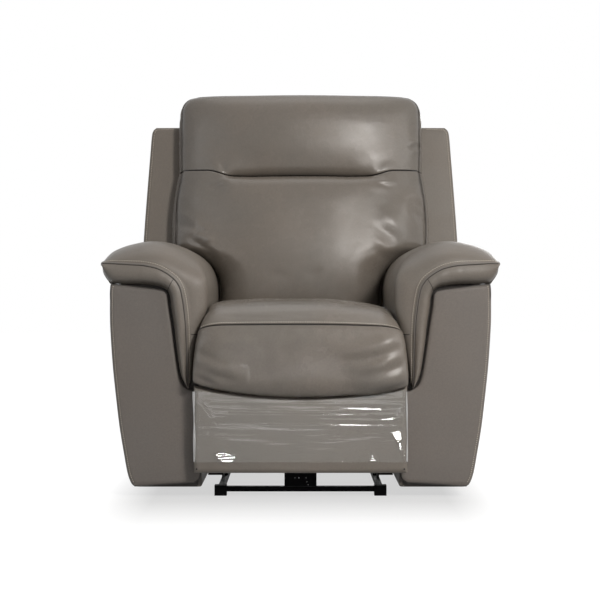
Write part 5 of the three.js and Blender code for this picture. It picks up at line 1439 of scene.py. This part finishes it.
rest_x, rest_z = rest_grid(rest_low.z, 0.0, 0.0, rest_rows, rest_across)
rest_side = rest_high.x - np.abs(rest_x)
rest_end = np.minimum(rest_z - rest_low.z, rest_top(rest_x) - rest_z)
rest_depth = rest_low.y + 9 * mm * rolled(np.minimum(rest_side, rest_end), 12 * mm)
rest_depth -= 2.0 * mm * ease(rest_side / (60 * mm)) * ease(rest_end / (40 * mm)) - 2.0 * mm
rest_front = np.stack([rest_x, rest_depth, rest_z], axis=-1)
rest_points, rest_faces = padded_board(rest_front, rest_high.y, (0.3, 0.65, 0.9))
make_piece(
    "footrest_cover", rest_points, rest_faces, panel_leather, "footrest", replaces=["footrest_panel"], soft=0.9)


# %% [markdown]
# Two small studs hold the panel's lower corners. Under it, five bright connector pins show on the black
# plate of the drive.


# %% The panel's two studs and the drive's connector pins
def dome(middle, radius, height):
    """The points and faces of a small round head that faces the front."""
    turn, tilt = np.meshgrid(np.linspace(0, 2 * np.pi, 12, endpoint=False), np.linspace(0, np.pi / 2, 5)[:-1])
    wide = radius * np.cos(tilt)
    head = np.stack([wide * np.cos(turn), -height * np.sin(tilt), wide * np.sin(turn)], axis=-1)
    points = np.concatenate([head.reshape(-1, 3), [[0, -height, 0]]]) + np.array(middle)
    faces = ring_faces(4, 12) + [(36 + k, 36 + (k + 1) % 12, 48) for k in range(12)]
    return points, faces + [tuple(range(12))[::-1]]


studs = joined([dome((side * 0.2535, rest_low.y + 1.2 * mm, 0.0745), 2.0 * mm, 1.4 * mm) for side in (-1, 1)])
make_piece("footrest_studs", *studs, black_plastic, "footrest", "black_plastic")
plate_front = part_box("motor_bracket")[0].y + 0.2 * mm
pins = joined([
    dome((x * mm, plate_front, z * mm), 1.3 * mm, 1.5 * mm)
    for x, z in ((-14, 44), (-4, 44), (14, 44), (16, 34), (19, 26.5))])
make_piece("connector_pins", *pins, rod_finish, "base")

# %% [markdown]
# The film is a thin clear plastic. It has no colour of its own: it lets the leather through and adds a
# reflection, a little stronger at a slant and in its creases. So the material is a mix of a transparent
# and a glossy shader, and the factor follows the Fresnel term. The dents are modelled, because the
# lamps' reflections only jump where the sheet really tilts.

# %% The film's finish and its dents
film_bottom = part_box("footrest_film")[0].z


def make_film_finish(name, milkiness):
    film = new_finish(name)
    wrinkle = film.noise(20.0, 2.0, stretch=(0.3, 1, 5.0), roughness=0.45)
    haze = film.between(film.noise(9.0, 3.0, stretch=(0.6, 1, 2.2)), 0.4, 0.75)
    relief = film.bump(wrinkle, 0.9 * mm, 0.45)
    outside = 1 - film.node("NewGeometry", output="Backfacing")
    edge = film.node("Fresnel", IOR=1.5, Normal=relief) * outside
    gloss = film.node("BsdfAnisotropic", Color=(1, 1, 1, 1), Roughness=0.07, Normal=relief)
    milk = film.node("BsdfDiffuse", Color=(0.85, 0.85, 0.86, 1), Normal=relief)
    clear = film.node("BsdfTransparent", Color=(0.97, 0.97, 0.965, 1))
    body = film.node("MixShader", _0=milkiness + 0.02 * haze, _1=clear, _2=milk)
    return film.show(film.node("MixShader", _0=edge * 1.5, _1=body, _2=gloss))


film_finish = make_film_finish("clear film", 0.01)
film_edge_finish = make_film_finish("gathered film edge", 0.5)
film_rows, film_columns = 150, 330
film_thickness = 0.35 * mm
film_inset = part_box("footrest_panel")[1].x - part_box("footrest_film")[1].x
film_across = crowded(film_columns, 1.15)
film_x, film_z = rest_grid(film_bottom, film_inset - 1.5 * mm, 7.5 * mm, film_rows, film_across)
film_folds = [
    (-270, 239, 260, 236, 5, 0.31, -4), (-270, 230, 200, 226, 4, -0.27, 3),
    (-240, 224.5, 270, 219.5, 4.5, 0.27, -4), (-270, 214, 270, 209, 5, 0.34, -5),
    (-220, 206, 140, 203, 4, 0.24, 2), (-280, 199, 240, 190, 5, 0.37, 4), (-250, 187, 280, 181, 4, -0.31, 3),
    (-160, 181, 260, 177, 4, 0.27, 2), (-260, 173, 100, 167, 5, 0.27, 0), (-230, 156, -20, 134, 6, 0.27, -6),
    (20, 134, 220, 156, 6, 0.24, -5), (-100, 128, 140, 110, 6, 0.2, 4), (-255, 245, -212, 165, 9, 0.82, 6),
    (-212, 180, -250, 90, 9, 0.68, -6), (260, 235, 220, 165, 8, 0.68, 4)]
# Flat dents that catch the low lamp, as corners across and up
film_dents = [
    [(-0.212, 0.111), (-0.196, 0.117), (-0.166, 0.1125), (-0.158, 0.107), (-0.205, 0.1045)],
    [(-0.207, 0.1045), (-0.156, 0.1065), (-0.160, 0.0995), (-0.2, 0.0975)],
    [(-0.2, 0.0975), (-0.158, 0.0995), (-0.166, 0.0925), (-0.19, 0.0915)],
    [(0.219, 0.165), (0.243, 0.170), (0.249, 0.148), (0.237, 0.137)],
    [(0.236, 0.137), (0.2465, 0.136), (0.2625, 0.0935), (0.2535, 0.0935)],
    [(0.198, 0.1965), (0.216, 0.199), (0.242, 0.1965), (0.243, 0.1925), (0.2, 0.1935)],
    [(0.168, 0.094), (0.175, 0.108), (0.187, 0.0945)]]
low_lamp_place = (0.3, -3.2, 0.40)


def dent(x, z, corners):
    """Tilt a patch of the film within its corners until it mirrors the low lamp towards the front."""
    corners = np.array(corners)
    middle = corners.mean(axis=0)
    spot = Vector((middle[0], rest_low.y, middle[1]))
    facing = (Vector(low_lamp_place) - spot).normalized() + (camera.location - spot).normalized()
    lean_x, lean_z = -facing.x / facing.y, -facing.z / facing.y
    inside = np.full(x.shape, 1e9)
    for a, b in zip(corners, np.roll(corners, -1, axis=0)):
        run = (b - a) / np.linalg.norm(b - a)
        out = (x - a[0]) * run[1] - (z - a[1]) * run[0]
        if (middle[0] - a[0]) * run[1] - (middle[1] - a[1]) * run[0] < 0:
            out = -out
        inside = np.minimum(inside, out)
    heights = lean_x * (corners[:, 0] - middle[0]) + lean_z * (corners[:, 1] - middle[1])
    plane = lean_x * (x - middle[0]) + lean_z * (z - middle[1]) - heights.max()
    return plane * ease((inside + 1.2 * mm) / (1.6 * mm))


film_side = film_x.max() - np.abs(film_x)
film_depth = rest_low.y - 2.2 * mm - 1.5 * mm * np.exp(-((film_side / (7 * mm)) ** 2))
film_depth = film_depth + 6.5 * mm * rolled(film_side, 7 * mm)
for crease in film_folds:
    film_depth = film_depth - fold(film_x, film_z, crease)
for corners in film_dents:
    film_depth = film_depth + dent(film_x, film_z, corners)
film_outer = np.stack([film_x, film_depth, film_z], axis=-1)
film_inner = film_outer + np.array([0, film_thickness, 0])
film_points, film_faces = boxed(film_outer, [], film_inner, turned=True)
film_piece = make_piece(
    "footrest_film_sheet", film_points, film_faces, film_finish, "footrest", "clear_film", ["footrest_film"])
for hem_side in (-1, 1):
    up = np.linspace(0, 1, 60)
    hem_z = mix(film_bottom + 1 * mm, rest_top(film_x.max()) - 13 * mm, up)
    hem_width = (2.6 if hem_side < 0 else 1.7) * mm * (1 + 0.35 * np.sin(up * 9 + hem_side))
    hem_x = hem_side * (film_x.max() + 0.6 * mm) + 0.8 * mm * np.sin(up * 5)
    hem_y = rest_low.y + 3.4 * mm + 1.2 * mm * np.sin(up * 14)
    turns = np.linspace(0, 2 * np.pi, 10, endpoint=False)
    ring = np.stack([
        hem_x[:, None] + hem_width[:, None] * np.cos(turns), hem_y[:, None] + 1.6 * mm * np.sin(turns),
        np.repeat(hem_z[:, None], 10, axis=1)], axis=-1)
    make_piece(
        "footrest_film_hem_" + ("right" if hem_side < 0 else "left"), ring, tube_faces(60, 10), film_edge_finish,
        "footrest", "clear_film")

# %% [markdown]
# The arms' bodies are seen from the side and from behind. Each is a plain upholstered form with rounded
# upright edges, so it is built of level rings that follow the side outline.

# %% Arm bodies
arm_low = box_side[0]
arm_outer_line = [
    (0.024, 0.412), (0.0416, 0.4233), (0.106, 0.4358), (0.18, 0.4483), (0.275, 0.4592), (0.339, 0.4651),
    (0.426, 0.471), (0.5265, 0.471)]
arm_rear_line = [(0.024, 0.735), (0.33, 0.735), (0.352, 0.7325), (0.43, 0.6425), (0.45, 0.6395), (0.5265, 0.6395)]
arm_corner = 14 * mm
arm_wall = 13 * mm


def arm_ring(level, inset):
    """A level ring round the arm: rounded corners, and a fixed count of points on each side."""
    x0 = arm_low.x + inset
    x1 = np.interp(level, *zip(*arm_outer_line)) - inset
    y0 = arm_low.y + inset
    y1 = FRONT_Y + np.interp(level, *zip(*arm_rear_line)) - inset
    radius = max(arm_corner - inset, 2 * mm)
    corners = []
    for cx, cy, start in ((x1, y0, -90), (x1, y1, 0), (x0, y1, 90), (x0, y0, 180)):
        sx, sy = np.sign(cx - (x0 + x1) / 2), np.sign(cy - (y0 + y1) / 2)
        turn = np.radians(np.linspace(start, start + 90, 6))
        corners.append(np.stack([
            cx - sx * radius + radius * np.cos(turn), cy - sy * radius + radius * np.sin(turn),
            np.full(6, level)], axis=-1))
    ring = []
    for n, corner in enumerate(corners):
        ring.append(corner)
        following = corners[(n + 1) % 4]
        count = 24 if n % 2 == 0 else 8
        share = np.linspace(0, 1, count + 2)[1:-1, None]
        ring.append(mix(corner[-1], following[0], share))
    return np.concatenate(ring)


def make_arm_body(side):
    levels = np.concatenate([[0.0245, 0.026, 0.030], np.linspace(0.037, 0.516, 54), [0.5215, 0.5245, 0.5262]])
    outer, inner = [], []
    for level in levels:
        tuck = 3.0 * mm * rolled(np.array([level - 0.0245]), 8 * mm)[0]
        tuck += 4.0 * mm * rolled(np.array([0.5262 - level]), 8 * mm)[0]
        ring = arm_ring(level, tuck)
        outer.append(ring)
        inner.append(arm_ring(min(max(level, 0.0245), 0.513), arm_wall))
    outer, inner = np.array(outer), np.array(inner)
    count = outer.shape[1]
    pad = 3.0 * mm * np.sin(np.pi * np.clip((outer[..., 2] - 0.03) / 0.49, 0, 1)) ** 0.6
    facing = (outer[..., 0] > np.interp(outer[..., 2], *zip(*arm_outer_line)) - 4 * mm)
    far = np.clip(np.minimum(outer[..., 1] - arm_low.y, FRONT_Y + 0.735 - outer[..., 1]) / (60 * mm), 0, 1)
    outer[..., 0] += facing * (pad * ease(far) - 1.5 * mm)
    rings = len(levels)
    points = np.concatenate([outer.reshape(-1, 3), inner.reshape(-1, 3)])
    hollow = rings * count
    faces = ring_faces(rings, count) + [quad[::-1] for quad in ring_faces(rings, count, hollow)]
    faces += [(k, hollow + k, hollow + (k + 1) % count, (k + 1) % count) for k in range(count)]
    faces += [tuple(range(hollow - count, hollow)), tuple(range(2 * hollow - count, 2 * hollow))[::-1]]
    # Painted shade on the arm's front face, in the gap behind the front panel and under the pad
    make_piece(
        "arm_cover_" + side, points, faces, front_leather, "base", replaces=["arm_body_" + side], soft=0.9,
        seam=0.9 * (points[:, 1] < arm_low.y + 1.5 * mm) * ((points[:, 0] < 0.4) | (points[:, 2] > 0.495)),
        mirror=side == "right")


for side in ("left", "right"):
    make_arm_body(side)

# %% [markdown]
# The studio is a white sweep. The backdrop is white to the camera, and the floor too, apart from a painted
# shadow: a grey patch under the chair and in front of it that fades out. The floor also keeps the
# chair's own soft shadow.


# %% Floor and world
painted_floor_shadow = 0.615
shadow_edge = 0.36


def make_floor():
    size = 14.0
    mesh = bpy.data.meshes.new("floor")
    mesh.from_pydata([(-size, -size, 0), (size, -size, 0), (size, size, 0), (-size, size, 0)], [], [(0, 1, 2, 3)])
    floor = bpy.data.objects.new("floor", mesh)
    bpy.context.collection.objects.link(floor)
    paper = new_finish("white floor with painted shadow")
    diffuse = paper.node("BsdfDiffuse", Color=(0.18, 0.18, 0.18, 1))
    spot = paper.node("TexCoord", output="Object")
    across = paper.node("SeparateXYZ", output="X", _0=spot)
    ahead = paper.node("SeparateXYZ", output="Y", _0=spot)
    # The glow's colour holds a painted shadow: grey under the chair and ahead of it, fading to white around
    painted_shadow_fade_ahead = paper.between(ahead, -0.47, -1.02)
    painted_shadow_fade_beside = paper.between(across * across, shadow_edge**2, (shadow_edge + 0.13) ** 2)
    glow_with_painted_shadow = paper.colours(painted_shadow_fade_ahead, (painted_floor_shadow,) * 3, (1, 1, 1))
    glow_with_painted_shadow = paper.tint(painted_shadow_fade_beside, glow_with_painted_shadow, (1, 1, 1))
    glow_with_painted_shadow = paper.tint(paper.between(ahead, 0.42, 0.75), glow_with_painted_shadow, (1, 1, 1))
    glow = paper.node("Emission", Color=glow_with_painted_shadow, Strength=paper.rays_seen())
    mesh.materials.append(paper.show(paper.node("AddShader", _0=diffuse, _1=glow)))


make_floor()
sky = Finish(bpy.data.worlds.new("studio"), "OutputWorld")
bpy.context.scene.world = sky.owner
fill = sky.node("Background", Color=(1, 1, 1, 1), Strength=0.07)
white = sky.node("Background", Color=(1, 1, 1, 1), Strength=1.0)
sky.show(sky.node("MixShader", _0=sky.rays_seen(), _1=fill, _2=white))


# %% [markdown]
# The key lamp stands high on the right and gives the leather its highlights. Larger, weaker lamps fill in
# from both sides, from above and from behind, and two faint ones near the floor put the light spots and
# streaks in the film.


# %% Lamps
def add_lamp(name, place, target, width, height, power, colour, spread=180):
    data = bpy.data.lights.new(name, "AREA")
    data.shape = "RECTANGLE"
    data.size, data.size_y = width, height
    data.energy, data.color, data.spread = power, colour, np.radians(spread)
    lamp = bpy.data.objects.new(name, data)
    bpy.context.collection.objects.link(lamp)
    lamp.location = place
    lamp.rotation_euler = (Vector(target) - Vector(place)).to_track_quat("-Z", "Y").to_euler()


add_lamp("key lamp", (1.5, -3.1, 2.1), (0.05, 0.0, 0.6), 0.65, 0.65, 70, (1.0, 0.965, 0.925))
add_lamp("right lamp", (2.6, -1.4, 1.7), (0, 0, 0.6), 1.4, 1.8, 21, (1.0, 0.98, 0.95))
add_lamp("left lamp", (-2.6, -1.8, 1.5), (0, 0, 0.6), 1.2, 1.8, 10, (0.93, 0.97, 1.0))
add_lamp("top lamp", (0, 0.2, 3.2), (0, 0, 0.5), 2.0, 1.6, 11, (1.0, 0.98, 0.96))
add_lamp("rear lamp", (0.6, 3.4, 1.0), (0, 0, 0.5), 2.4, 1.4, 34, (1.0, 1.0, 1.0))
add_lamp("low lamp", low_lamp_place, (0.0, -0.4, 0.15), 0.24, 0.17, 0.09, (1.0, 1.0, 1.0), 17)
add_lamp("strip lamp", (0, -3.2, 0.12), (0.0, -0.4, 0.15), 1.3, 0.14, 0.012, (1.0, 1.0, 1.0), 17)
